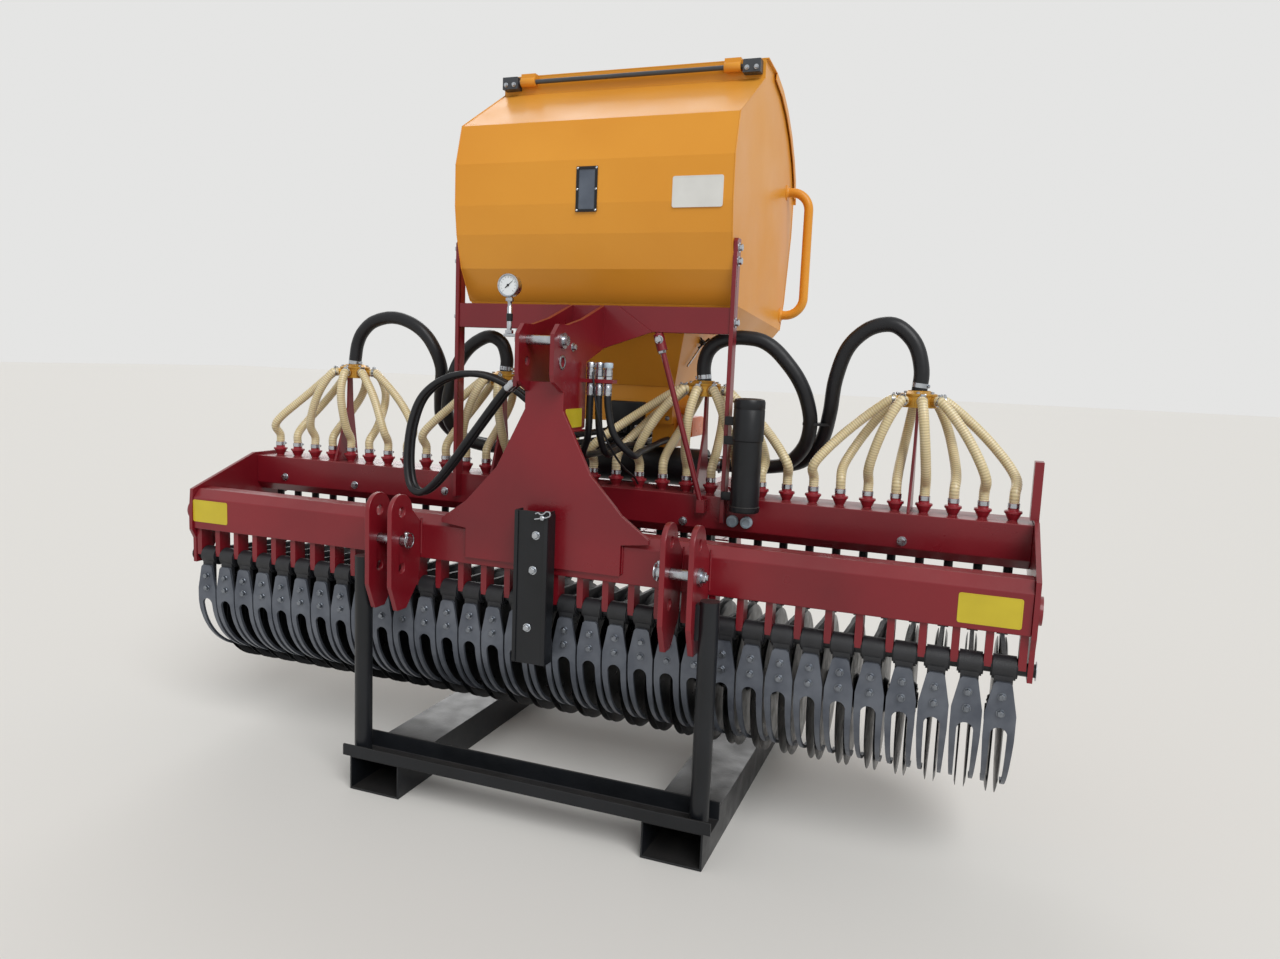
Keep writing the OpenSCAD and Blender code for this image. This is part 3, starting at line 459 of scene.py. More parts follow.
NODE_FINISHES: dict[Finish, tuple[str, ...]] = {
    RED_COAT: ("front_beam", "rear_beam", "end_plates", "hitch_plates", "mast", "mast_ears",
               "hopper_posts", "hopper_crossbar", "hopper_strut", "carrier_arms", "step_sides",
               "step_treads", "head_brackets", "fins"),
    MELON_ENAMEL: ("hopper_body", "hopper_funnel", "hopper_lid", "grab_handle", "metering_housing"),
    ZINC: ("hitch_pins", "pressure_gauge", "fan_rotor"),
    BLACK_ENAMEL: ("fan_housing", "fan_motor", "arm_tube", "stand_guide", "parking_stand",
                   "skid_pockets", "skid_cross", "skid_props"),
    GREY_ENAMEL: ("lid_hinge",),
    BLACK_POLY: ("air_manifold", "document_tube", "seed_drops"),
    GOLD_CAST: ("distributor_heads",),
    CUP_PLASTIC: ("seed_spouts",),
    SEED_HOSE: ("seed_hoses_left", "seed_hoses_right"),
    RUBBER: ("air_hoses", "oil_hoses"),
    CAP_PLASTIC: ("coupling_caps",),
    CAST_BLACK: ("coulter_arms",),
    MILL_SCALE: ("coulter_forks",),
    DISC_STEEL: ("coulter_discs",),
    PANE: ("sight_window",),
}

# Solids whose sheared or folded edges are visibly broken, with the width of that edge in millimetres
BROKEN_EDGES: dict[str, float] = {
    "front_beam": 3.0, "rear_beam": 2.5, "end_plates": 1.8, "hitch_plates": 2.2, "mast": 1.8,
    "mast_ears": 1.8, "hopper_posts": 1.8, "hopper_crossbar": 2.0, "hopper_body": 1.8,
    "hopper_funnel": 1.6, "hopper_lid": 1.2, "carrier_arms": 1.2, "step_sides": 1.2,
    "step_treads": 1.0, "parking_stand": 1.8, "stand_guide": 1.8, "skid_pockets": 2.4,
    "skid_cross": 1.8, "lid_hinge": 1.8, "metering_housing": 2.4, "head_brackets": 1.2,
    "fan_motor": 2.4,
}
# Corners of a solid that are closer than this in millimetres are one, and edges sharper than this are broken
SAME_CORNER = 0.02
SHARP_DEGREES = 38.0


def dress_nodes() -> None:
    """Gives each solid of the frame its finish, and breaks the edges that catch light on the real one."""
    for finish, names in NODE_FINISHES.items():
        for name in names:
            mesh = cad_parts[name].data
            mesh.materials.clear()
            mesh.materials.append(finish.material())
    for name, width in BROKEN_EDGES.items():
        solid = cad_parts[name]
        corners = solid.modifiers.new("merged", "WELD")
        corners.merge_threshold = SAME_CORNER * MM
        edge = solid.modifiers.new("broken_edge", "BEVEL")
        edge.width = width * MM
        edge.segments = 2
        edge.limit_method = "ANGLE"
        edge.angle_limit = math.radians(SHARP_DEGREES)
        edge.harden_normals = True
    log.info("finishes on %d solids", sum(len(n) for n in NODE_FINISHES.values()))


@dataclass
class Viewpoint:
    """The camera as it stood for the photograph, its place in millimetres and its turns in degrees."""

    x: float = 1103
    y: float = -2263
    z: float = 1267
    turned_left: float = 20.28
    looks_down: float = 7.29
    rolled: float = -2.32
    lens_mm: float = 25.757
    sensor_mm: float = 36
    nearest_mm: float = 50

    def build(self) -> None:
        """Adds the camera and makes it the scene's own."""
        yaw, pitch, roll = (math.radians(v) for v in (self.turned_left, self.looks_down, self.rolled))
        ahead = Vector((-math.sin(yaw) * math.cos(pitch), math.cos(yaw) * math.cos(pitch), -math.sin(pitch)))
        level = ahead.cross(Axis.Z.value).normalized()
        down = ahead.cross(level)
        right = math.cos(roll) * level + math.sin(roll) * down
        up = math.sin(roll) * level - math.cos(roll) * down
        turn = Matrix((right, up, -ahead)).transposed().to_4x4()
        bpy.ops.object.camera_add()
        camera = bpy.context.object
        camera.name = "viewpoint"
        camera.matrix_world = Matrix.Translation(place(self.x, self.y, self.z)) @ turn
        camera.data.sensor_width = self.sensor_mm
        camera.data.lens = self.lens_mm
        camera.data.clip_start = self.nearest_mm * MM
        bpy.context.scene.camera = camera


@dataclass
class Studio:
    """Plain pale floor and soft light from all round, with one broad softened sun and a weaker one behind.

    Sizes and places are in metres, and sun_width is in degrees. The room lights at room_level, and the
    camera, metal and glass see it at seen_level.
    """

    floor_size: float = 90.0
    floor_drop: float = 0.0005
    floor_colour: str = "#dedcd8"
    floor_roughness: float = 0.9
    floor_specular: float = 0.1
    room_colour: str = "#e9e9e8"
    sun_strength: float = 1.9
    sun_width: float = 38.0
    sun_from: Spot = (2.4, -2.6, 4.2)
    back_strength: float = 0.7
    back_from: Spot = (-2.2, 4.0, 3.2)
    lit_height: float = 0.9
    room_level: float = 0.62
    seen_level: float = 0.96

    def build(self) -> None:
        """Adds the floor, the lamps and the world."""
        self.add_floor()
        self.add_world()
        self.add_sun("key_sun", self.sun_from, self.sun_strength)
        self.add_sun("back_sun", self.back_from, self.back_strength)
        bpy.context.scene.view_settings.view_transform = "Standard"

    def add_floor(self) -> None:
        """Adds the floor, which keeps the machine's shadow."""
        bpy.ops.object.select_all(action="DESELECT")
        bpy.ops.mesh.primitive_plane_add(size=self.floor_size, location=(0, 0, -self.floor_drop))
        floor = bpy.context.object
        floor.name = "floor"
        made = bpy.data.materials.new("floor_pale")
        made.use_nodes = True
        tree = made.node_tree
        tree.nodes.clear()
        shader = add_node(tree, "ShaderNodeBsdfPrincipled", {
            "Base Color": linear(self.floor_colour), "Roughness": self.floor_roughness,
            "Specular IOR Level": self.floor_specular,
        })
        add_node(tree, "ShaderNodeOutputMaterial", {"Surface": shader.outputs[0]})
        floor.data.materials.append(made)

    def add_world(self) -> None:
        """Adds an even pale world, which the camera, metal and glass see as the background."""
        world = bpy.data.worlds.new("pale_room")
        bpy.context.scene.world = world
        world.use_nodes = True
        tree = world.node_tree
        tree.nodes.clear()
        rays = add_node(tree, "ShaderNodeLightPath").outputs
        seen = rays["Is Camera Ray"]
        for more in ("Is Glossy Ray", "Is Transmission Ray"):
            seen = add_node(tree, "ShaderNodeMath", {0: seen, 1: rays[more]}, operation="MAXIMUM").outputs[0]
        level = add_node(tree, "ShaderNodeMapRange", {
            "Value": seen, "To Min": self.room_level, "To Max": self.seen_level,
        })
        sky = add_node(tree, "ShaderNodeBackground", {
            "Color": linear(self.room_colour), "Strength": level.outputs[0],
        })
        add_node(tree, "ShaderNodeOutputWorld", {"Surface": sky.outputs[0]})

    def add_sun(self, name: str, spot: Spot, strength: float) -> None:
        """Adds a softened sun.

        Args:
            name: Name of the lamp.
            spot: Where its light comes from, in metres.
            strength: Its strength.
        """
        bpy.ops.object.light_add(type="SUN", location=spot)
        lamp = bpy.context.object
        lamp.name = name
        lamp.data.energy = strength
        lamp.data.angle = math.radians(self.sun_width)
        aim = Vector((0, 0, self.lit_height)) - Vector(spot)
        lamp.rotation_euler = aim.to_track_quat("-Z", "Y").to_euler()


def only(obj: Obj) -> None:
    """Leaves one object selected and active.

    Args:
        obj: The object.
    """
    bpy.ops.object.select_all(action="DESELECT")
    obj.select_set(True)
    bpy.context.view_layer.objects.active = obj


def turned_to(direction: Vector) -> Matrix:
    """Turn that takes the Z axis to a direction."""
    return direction.to_track_quat("Z", "Y").to_matrix().to_4x4()


def placed(obj: Obj) -> Obj:
    """Puts an object's place, turn and size into its mesh.

    Args:
        obj: The object.

    Returns:
        The object, at the origin.
    """
    only(obj)
    bpy.ops.object.transform_apply(location=True, rotation=True, scale=True)
    return obj


def applied(obj: Obj, kind: str, **settings: float | str) -> Obj:
    """Adds a modifier to a piece and applies it.

    Args:
        obj: The piece.
        kind: Type name of the modifier.
        settings: Attributes of the modifier.

    Returns:
        The piece.
    """
    only(obj)
    bpy.ops.object.modifier_add(type=kind)
    modifier = obj.modifiers[-1]
    for name, value in settings.items():
        setattr(modifier, name, value)
    bpy.ops.object.modifier_apply(modifier=modifier.name)
    return obj


def cube(size: Sequence[float], at: Sequence[float] = (0, 0, 0)) -> Obj:
    """Starts a piece as a cube.

    Args:
        size: Its three sides in millimetres.
        at: Its middle in millimetres from the piece's origin.

    Returns:
        The cube.
    """
    bpy.ops.object.select_all(action="DESELECT")
    bpy.ops.mesh.primitive_cube_add(size=MM, location=Vector(at) * MM)
    made = bpy.context.object
    made.scale = size
    return placed(made)


def opened(obj: Obj, kind: str) -> None:
    """Makes a piece ready to pick some of its faces or edges, with nothing selected.

    Args:
        obj: The piece.
        kind: FACE or EDGE.
    """
    only(obj)
    bpy.ops.object.mode_set(mode="EDIT")
    bpy.ops.mesh.select_mode(type=kind)
    bpy.ops.mesh.select_all(action="DESELECT")
    bpy.ops.object.mode_set(mode="OBJECT")


def pick_faces(obj: Obj, test: Callable[[Vector, Vector], bool]) -> None:
    """Opens a piece for editing with some faces selected.

    Args:
        obj: The piece.
        test: Says of a face's middle, in millimetres from the piece's origin, and its normal if it is meant.
    """
    opened(obj, "FACE")
    for face in obj.data.polygons:
        face.select = test(face.center / MM, face.normal)
    bpy.ops.object.mode_set(mode="EDIT")


def pick_edges(obj: Obj, test: Callable[[Vector, Vector], bool]) -> None:
    """Opens a piece for editing with some edges selected.

    Args:
        obj: The piece.
        test: Says of an edge's two ends, in millimetres from the piece's origin, if it is meant.
    """
    opened(obj, "EDGE")
    points = obj.data.vertices
    for edge in obj.data.edges:
        edge.select = test(*(points[i].co / MM for i in edge.vertices))
    bpy.ops.object.mode_set(mode="EDIT")


def closed() -> None:
    """Leaves edit mode."""
    bpy.ops.object.mode_set(mode="OBJECT")


def stepped_face(obj: Obj, way: Vector, steps: Sequence[tuple[float, float]]) -> Obj:
    """Insets the faces that look one way and moves them along their normals, step by step.

    Args:
        obj: The piece.
        way: Where the faces look.
        steps: How far each step goes inwards and outwards, in millimetres.

    Returns:
        The piece.
    """
    pick_faces(obj, lambda _, normal: normal.dot(way) > FACING)
    for inwards, outwards in steps:
        bpy.ops.mesh.inset(thickness=max(inwards, LEAST_INSET) * MM, depth=outwards * MM)
    closed()
    return obj


def resized_end(obj: Obj, way: Vector, size: Spot) -> Obj:
    """Narrows or widens the end of a piece.

    Args:
        obj: The piece.
        way: Where the end looks.
        size: Factor along each axis.

    Returns:
        The piece.
    """
    pick_faces(obj, lambda _, normal: normal.dot(way) > FACING)
    bpy.ops.transform.resize(value=size)
    closed()
    return obj


def broken(obj: Obj, width: float, segments: int = 2) -> Obj:
    """Rounds the sharp edges of a piece with an applied bevel.

    Args:
        obj: The piece.
        width: Width of the rounding in millimetres.
        segments: Faces across it.

    Returns:
        The piece.
    """
    return applied(obj, "BEVEL", width=width * MM, segments=segments, limit_method="ANGLE",
                   angle_limit=math.radians(ROUNDED_DEGREES))


def walled(obj: Obj, thickness: float) -> Obj:
    """Gives a sheet a thickness.

    Args:
        obj: The sheet.
        thickness: How far the wall goes along the sheet's normals, in millimetres.

    Returns:
        The piece.
    """
    return applied(obj, "SOLIDIFY", thickness=thickness * MM, offset=1.0)


def lathe(profile: Sequence[tuple[float, float]], sides: int) -> Obj:
    """Turned piece along Z: a disc that is extruded and resized along a profile.

    Args:
        profile: Radius and height of each ring in millimetres, from the foot up.
        sides: Faces round it; 6 gives a hexagon.

    Returns:
        The piece, at the origin.
    """
    radius, height = profile[0]
    bpy.ops.object.select_all(action="DESELECT")
    bpy.ops.mesh.primitive_circle_add(vertices=sides, radius=radius * MM, fill_type="NGON",
                                      location=(0, 0, 0))
    made = bpy.context.object
    bpy.ops.object.mode_set(mode="EDIT")
    bpy.ops.mesh.select_all(action="SELECT")
    bpy.ops.transform.translate(value=(0, 0, height * MM))
    for new_radius, new_height in profile[1:]:
        lift = (0, 0, (new_height - height) * MM)
        bpy.ops.mesh.extrude_region_move(TRANSFORM_OT_translate={"value": lift})
        size = new_radius / radius
        bpy.ops.transform.resize(value=(size, size, 1), center_override=(0, 0, new_height * MM))
        radius, height = new_radius, new_height
    bpy.ops.mesh.select_all(action="SELECT")
    bpy.ops.mesh.normals_make_consistent(inside=False)
    closed()
    return made


def ring(radius: float, wall: float, width: float, sides: int) -> Obj:
    """Thin band round Z, its inner face at a radius.

    Args:
        radius: Inner radius in millimetres.
        wall: Thickness of the band.
        width: Its width along Z, with its middle at the origin.
        sides: Faces round it.

    Returns:
        The band.
    """
    bpy.ops.object.select_all(action="DESELECT")
    bpy.ops.mesh.primitive_cylinder_add(vertices=sides, radius=radius * MM, depth=width * MM,
                                        end_fill_type="NOTHING")
    return walled(bpy.context.object, wall)


def joined(parts: Sequence[Obj]) -> Obj:
    """Joins pieces into the first one.

    Args:
        parts: The pieces.

    Returns:
        The first piece, which holds them all.
    """
    bpy.ops.object.select_all(action="DESELECT")
    for part in parts:
        part.select_set(True)
    bpy.context.view_layer.objects.active = parts[0]
    if len(parts) > 1:
        bpy.ops.object.join()
    return parts[0]


def shifted(obj: Obj, at: Sequence[float] = (0, 0, 0), direction: Vector | None = None) -> Obj:
    """Turns a piece from Z to a direction and moves it.

    Args:
        obj: The piece, modelled at the origin.
        at: Where its origin goes, in millimetres.
        direction: Where its Z axis points, if it is turned at all.

    Returns:
        The piece, its place in its mesh.
    """
    turn = turned_to(direction) if direction else Matrix()
    obj.matrix_world = Matrix.Translation(Vector(at) * MM) @ turn
    return placed(obj)


def copy_to(pattern: Obj, spot: Vector, direction: Vector, spin: float = 0.0) -> Obj:
    """Copies a pattern piece with its own mesh to a place.

    Args:
        pattern: The piece, modelled at the origin along Z.
        spot: Where its origin goes.
        direction: Where its Z axis points.
        spin: Turn about that direction, in degrees.

    Returns:
        The copy.
    """
    made = pattern.copy()
    made.data = pattern.data.copy()
    bpy.context.scene.collection.objects.link(made)
    own_turn = Matrix.Rotation(math.radians(spin), 4, "Z")
    made.matrix_world = Matrix.Translation(spot) @ turned_to(direction) @ own_turn
    return made


def discard(*patterns: Obj) -> None:
    """Removes patterns that have been copied."""
    for pattern in patterns:
        bpy.data.objects.remove(pattern, do_unlink=True)


def settle(obj: Obj, name: str, finish: Finish, body: Body = Body.MACHINE, angle: float = 35) -> Obj:
    """Finishes a piece: its place goes into its mesh, and it gets its name, finish and body.

    Args:
        obj: The piece, in place.
        name: Its name.
        finish: Its finish, which also names the record's material slot.
        body: The body that it rides on.
        angle: Edges flatter than this are shaded smooth, in degrees.

    Returns:
        The piece.
    """
    placed(obj)
    bpy.ops.object.shade_smooth_by_angle(angle=math.radians(angle))
    obj.name = obj.data.name = name
    obj.data.materials.clear()
    obj.data.materials.append(finish.material())
    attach(obj, body.value)
    log.info("%s: %d faces on %s", name, len(obj.data.polygons), body.value)
    return obj


def spread(pattern: Obj, name: str, spots: Sequence[Spot], direction: Vector | Sequence[Vector],
           finish: Finish = ZINC, body: Body = Body.MACHINE, spin: float = 0.0) -> Obj:
    """Copies a pattern to all its places, joins the copies and finishes them as one piece.

    Args:
        pattern: The piece, modelled at the origin along Z; it is removed.
        name: Name of the joined piece.
        spots: Places in millimetres from the fork bolts.
        direction: Where the pattern's Z axis points, for all or for each.
        finish: Its finish.
        body: The body that it rides on.
        spin: Turn about the direction, in degrees.

    Returns:
        The joined piece.
    """
    ways = [direction] * len(spots) if isinstance(direction, Vector) else direction
    copies = [copy_to(pattern, place(*spot), way, spin) for spot, way in zip(spots, ways)]
    discard(pattern)
    return settle(joined(copies), name, finish, body)


@dataclass
class Hose:
    """A tube along points, with square ends, ribs where they have a depth, and bends eased in some passes."""

    radius: float
    sides: int = 16
    step: float = 6.0
    rib: float = 0.0
    ease: int = 0
    fine_steps: int = 12
    fewest_steps: int = 4

    def smooth(self, points: Sequence[Vector]) -> list[Vector]:
        """Finds the smooth route through points, as the solids have it.

        Args:
            points: Control points in millimetres.

        Returns:
            The points of the route, with fine_steps from one control point to the next.
        """
        out: list[Vector] = []
        for i in range(len(points) - 1):
            b, c = points[i], points[i + 1]
            a = points[i - 1] if i else 2 * b - c
            d = points[i + 2] if i + 2 < len(points) else 2 * c - b
            for k in range(self.fine_steps):
                t = k / self.fine_steps
                out.append(0.5 * (2 * b + (c - a) * t + (2 * a - 5 * b + 4 * c - d) * t * t
                                  + (3 * b - a - 3 * c + d) * t * t * t))
        out.append(points[-1])
        return out

    def stepped(self, points: Sequence[Vector]) -> list[Vector]:
        """Cuts the smooth route into even short steps, an even number of them where the hose has ribs.

        Args:
            points: Control points in millimetres.

        Returns:
            The points of the steps.
        """
        fine = self.smooth(points)
        for _ in range(self.ease):
            fine[1:-1] = [0.25 * a + 0.5 * b + 0.25 * c for a, b, c in zip(fine, fine[1:], fine[2:])]
        length = sum((b - a).length for a, b in zip(fine, fine[1:]))
        whole = 2 if self.rib else 1
        count = max(self.fewest_steps, whole * round(length / self.step / whole))
        out, at, gone = [fine[0]], 0, 0.0
        for k in range(1, count):
            goal = length * k / count
            while gone + (fine[at + 1] - fine[at]).length < goal:
                gone += (fine[at + 1] - fine[at]).length
                at += 1
            span = (fine[at + 1] - fine[at]).length
            out.append(fine[at].lerp(fine[at + 1], (goal - gone) / span))
        out.append(fine[-1])
        return out

    def add_to(self, mesh: bmesh.types.BMesh, points: Sequence[Vector], first: Vector, last: Vector) -> None:
        """Adds the tube to a mesh, and marks the grooves between its ribs, where shade is painted.

        Args:
            mesh: Mesh under construction.
            points: Control points of the route in millimetres, from the fork bolts.
            first: Direction at the start.
            last: Direction at the end.
        """
        route = self.stepped(points)
        mark = mesh.verts.layers.float["painted_groove_shade"]
        side = first.cross(Axis.Y.value if abs(first.y) < 0.9 else Axis.X.value).normalized()
        turns = [2 * math.pi * k / self.sides for k in range(self.sides)]
        rings: list[list[bmesh.types.BMVert]] = []
        before = first
        for i, point in enumerate(route):
            if i in (0, len(route) - 1):
                ahead = first if i == 0 else last
            else:
                ahead = (route[i + 1] - route[i - 1]).normalized()
            side = (before.rotation_difference(ahead) @ side).normalized()
            before = ahead
            other = ahead.cross(side)
            in_groove = bool(i % 2 and self.rib)
            radius = self.radius - self.rib * in_groove
            circle = [point + radius * (math.cos(a) * side + math.sin(a) * other) for a in turns]
            rings.append([mesh.verts.new(place(*spot)) for spot in circle])
            # Groove rings are marked for the shade painted into them
            for vert in rings[-1]:
                vert[mark] = float(in_groove)
        for low, high in zip(rings, rings[1:]):
            for k in range(self.sides):
                n = (k + 1) % self.sides
                mesh.faces.new((low[k], low[n], high[n], high[k])).smooth = True
        mesh.faces.new(reversed(rings[0]))
        mesh.faces.new(rings[-1])


def mesh_piece(build: Callable[[bmesh.types.BMesh], None]) -> Obj:
    """Makes an object from a mesh that a function fills.

    Args:
        build: Adds the tubes to the mesh.

    Returns:
        The object.
    """
    mesh = bmesh.new()
    # Layer that marks where shade is painted into the grooves of a ribbed hose
    mesh.verts.layers.float.new("painted_groove_shade")
    build(mesh)
    data = bpy.data.meshes.new("hose")
    mesh.to_mesh(data)
    mesh.free()
    made = bpy.data.objects.new("hose", data)
    bpy.context.scene.collection.objects.link(made)
    return made


def cords(kind: Hose, routes: Sequence[Sequence[Spot]]) -> Obj:
    """Bent wires, rods, thin cables or weld beads as one mesh.

    Args:
        kind: Their radius, faces, step and ripple.
        routes: Points of each, in millimetres from the fork bolts.

    Returns:
        The mesh object.
    """
    def fill(mesh: bmesh.types.BMesh) -> None:
        """Adds each cord."""
        for route in routes:
            points = [Vector(p) for p in route]
            first, last = points[1] - points[0], points[-1] - points[-2]
            kind.add_to(mesh, points, first.normalized(), last.normalized())

    return mesh_piece(fill)


@dataclass
class Rows:
    """Places that the rows share, in millimetres."""

    pitch: float = 75.0
    count: int = 33
    spouts: Extent = extent("seed_spouts")

    @property
    def spout_y(self) -> float:
        """Place of the spouts behind the fork bolts."""
        return self.spouts.middle[1]

    def x(self, row: int) -> float:
        """Place of a row across the machine."""
        return (row - (self.count - 1) / 2) * self.pitch

    def all(self) -> list[float]:
        """Places of all rows."""
        return [self.x(row) for row in range(self.count)]


ROWS = Rows()


def around(count: int, first: float = 0.0) -> list[float]:
    """Angles in radians of pieces spaced evenly round a circle, the first one given in degrees."""
    return [math.radians(first + 360 / count * k) for k in range(count)]


@dataclass(frozen=True)
class HexBolt:
    """Hexagon head with broken corners on its washer, sizes in millimetres."""

    across: float
    height: float
    washer: float
    washer_height: float = 1.8

    def build(self) -> Obj:
        """Builds the bolt along Z.

        Returns:
            Its head and washer as one piece.
        """
        foot, r = self.washer_height, self.across / 2 / math.cos(math.radians(30))
        head = lathe([(r * 0.95, foot), (r, foot + 0.6), (r, foot + 0.8 * self.height),
                      (r * 0.84, foot + self.height), (r * 0.3, foot + self.height * 1.02)], 6)
        washer = lathe([(self.washer, 0), (self.washer, foot - 0.6), (self.washer - 0.5, foot)], 18)
        return joined([washer, head])


def worm_clamp(radius: float, width: float, sides: int = 18) -> Obj:
    """Hose clamp round Z: a band with its housing and a slotted hexagon screw.

    Args:
        radius: Radius of the hose in millimetres.
        width: Width of the band.
        sides: Faces round the band.

    Returns:
        The clamp.
    """
    band = ring(radius, 0.9, width, sides)
    box = broken(cube((11, 5, width * 0.8), (0, radius + 2.6, 0)), 0.9, 1)
    screw = shifted(lathe([(3.6, 0), (3.6, 3.2), (2.8, 4.0)], 6), (5.5, radius + 3.2, 0), Axis.X.value)
    return joined([band, box, screw])


@dataclass(frozen=True)
class Head:
    """A distributor head: its place in row spacings from the middle, then moved by shift, and its rows."""

    pitches: float
    first: int
    last: int
    shift: float

    def x(self) -> float:
        """Place of the head across the machine."""
        return self.pitches * ROWS.pitch + self.shift

    def rows(self) -> range:
        """The rows that it feeds."""
        return range(self.first, self.last + 1)

    def port(self, row: int) -> Vector:
        """Direction of the outlet for a row: front and rear outlets take turns, from the left to the right.

        Args:
            row: The row.

        Returns:
            The direction, level.
        """
        j, n = row - self.first, len(self.rows())
        angle = math.radians((-1 if j % 2 == 0 else 1) * (180 - 180 * (j + 0.5) / n))
        return Vector((math.cos(angle), math.sin(angle), 0))


@dataclass
class SeedLines:
    """Hoses from the four distributor heads, one to each row, and what holds their ends.

    The outlets stand outlets_above the foot of their head. A hose leaves its outlet at start, is straight to
    reach, bends down bow_x and bow_y out from the head's middle and bow_drop under it, and comes down on its
    cup from above, behind or in front of it.
    """

    heads: tuple[Head, ...] = (Head(-12.5, 0, 7, 20), Head(-4.5, 8, 15, 4), Head(4.5, 16, 24, -10),
                               Head(12.5, 25, 32, 0))
    castings: Extent = extent("distributor_heads")
    outlets_above: float = 17.0
    start: float = 60.0
    reach: float = 80.0
    reach_drop: float = 4.0
    bow_x: float = 82.0
    bow_y: float = 94.0
    bow_share: float = 0.54
    bow_drop: float = 76.0
    bow_aside: float = 6.0
    far_row: float = 300.0
    far_drop: float = 14.0
    before_cup: float = 28.0
    behind_cup: float = 42.0
    above_cup: float = 68.0
    upright: float = 30.0
    clamp_out: float = 68.0
    neck_drop: float = 7.0
    bolt_circle: float = 40.0
    rib_circle: float = 46.6
    hose: Hose = field(default_factory=lambda: Hose(14.0, sides=14, step=3.5, rib=1.3, ease=24))

    def middle(self, head: Head) -> Vector:
        """Middle of a head."""
        return Vector((head.x(), self.castings.middle[1], self.castings.foot + self.outlets_above))

    def outlets(self) -> list[tuple[Head, int]]:
        """Head and row of each hose."""
        return [(head, row) for head in self.heads for row in head.rows()]

    def cups(self, height: float) -> list[Spot]:
        """Places at a height on the axes of all cups."""
        return [(x, ROWS.spout_y, height) for x in ROWS.all()]

    def route(self, head: Head, row: int) -> list[Vector]:
        """Finds the way of a hose from its outlet to its cup.

        Args:
            head: The head that it comes from.
            row: The row that it feeds.

        Returns:
            Its control points.
        """
        u, x, centre = head.port(row), ROWS.x(row), self.middle(head)
        near = head.x() + u.x * self.bow_x
        cup, top = ROWS.spout_y, ROWS.spouts.top
        far = abs(x - head.x()) / self.far_row
        side = math.copysign(1, u.y)
        return [
            centre + u * self.start,
            centre + u * self.reach - Vector((0, 0, self.reach_drop)),
            Vector((near + self.bow_share * (x - near),
                    centre.y + u.y * self.bow_y + side * self.bow_aside * (1 - far),
                    centre.z - self.bow_drop - self.far_drop * far)),
            Vector((x, cup + (self.behind_cup if side > 0 else -self.before_cup), top + self.above_cup)),
            Vector((x, cup, top + self.upright)),
            Vector((x, cup, top)),
        ]

    def build(self) -> None:
        """Builds the hoses of both sides, their clamps, the cups below and the heads' fittings."""
        for name, heads in (("seed_hoses_left", self.heads[:2]), ("seed_hoses_right", self.heads[2:])):
            def fill(mesh: bmesh.types.BMesh) -> None:
                """Adds each hose of these heads."""
                for head in heads:
                    for row in head.rows():
                        self.hose.add_to(mesh, self.route(head, row), head.port(row), Axis.DOWN.value)

            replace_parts(settle(mesh_piece(fill), name + "_ribbed", SEED_HOSE, angle=60), name)
        self.build_clamps()
        self.build_cups()
        self.build_heads()

    def build_clamps(self) -> None:
        """Builds the clamps at both ends of each hose."""
        ways = [head.port(row) for head, row in self.outlets()]
        spots = [tuple(self.middle(head) + u * self.clamp_out) for (head, _), u in zip(self.outlets(), ways)]
        spread(worm_clamp(13.6, 8), "hose_clamps_heads", spots, ways)
        necks = self.cups(ROWS.spouts.top - self.neck_drop)
        spread(worm_clamp(14.5, 12), "hose_clamps_spouts", necks, Axis.Z.value, spin=180)

    def build_cups(self) -> None:
        """Builds the flared cup of each row with its broad flange."""
        cup = lathe([(12.4, 0), (12.4, 3), (14, 5), (20.4, 19), (22.8, 20), (22.8, 25), (22, 26), (16, 27),
                     (14.4, 29), (14.4, 46), (13.4, 47)], 22)
        made = spread(cup, "seed_cups", self.cups(ROWS.spouts.foot), Axis.Z.value, CUP_PLASTIC)
        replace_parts(made, "seed_spouts")

    def build_heads(self) -> None:
        """Builds the cast flanges round each head, their bolts and the ribs between the outlets."""
        middles = [tuple(self.middle(head)) for head in self.heads]
        upper = lathe([(47.5, 12.6), (49, 13.4), (49, 18), (47.5, 19), (31, 19.6), (30.5, 26.5),
                       (29.5, 27)], 40)
        lower = lathe([(46.6, -19), (48.4, -18), (48.4, -14.2), (47, -13.6)], 40)
        spread(joined([upper, lower]), "head_flanges", middles, Axis.Z.value, GOLD_CAST)
        bolts = [(x + self.bolt_circle * math.cos(a), y + self.bolt_circle * math.sin(a), z + 19)
                 for x, y, z in middles for a in around(6, 30)]
        spread(HexBolt(8, 4, 5.6).build(), "head_bolts", bolts, Axis.Z.value)
        rib = broken(cube((3, 4.5, 26), (self.rib_circle, 0, 0)), 0.8, 1)
        ribs = []
        for head, (x, y, z) in zip(self.heads, middles):
            ports = [head.port(row) for row in head.rows()]
            angles = sorted(math.degrees(math.atan2(u.y, u.x)) for u in ports)
            for a, b in zip(angles, angles[1:]):
                ribs.append(copy_to(rib, place(x, y, z - 2), Axis.Z.value, (a + b) / 2))
        discard(rib)
        settle(joined(ribs), "head_ribs", GOLD_CAST)


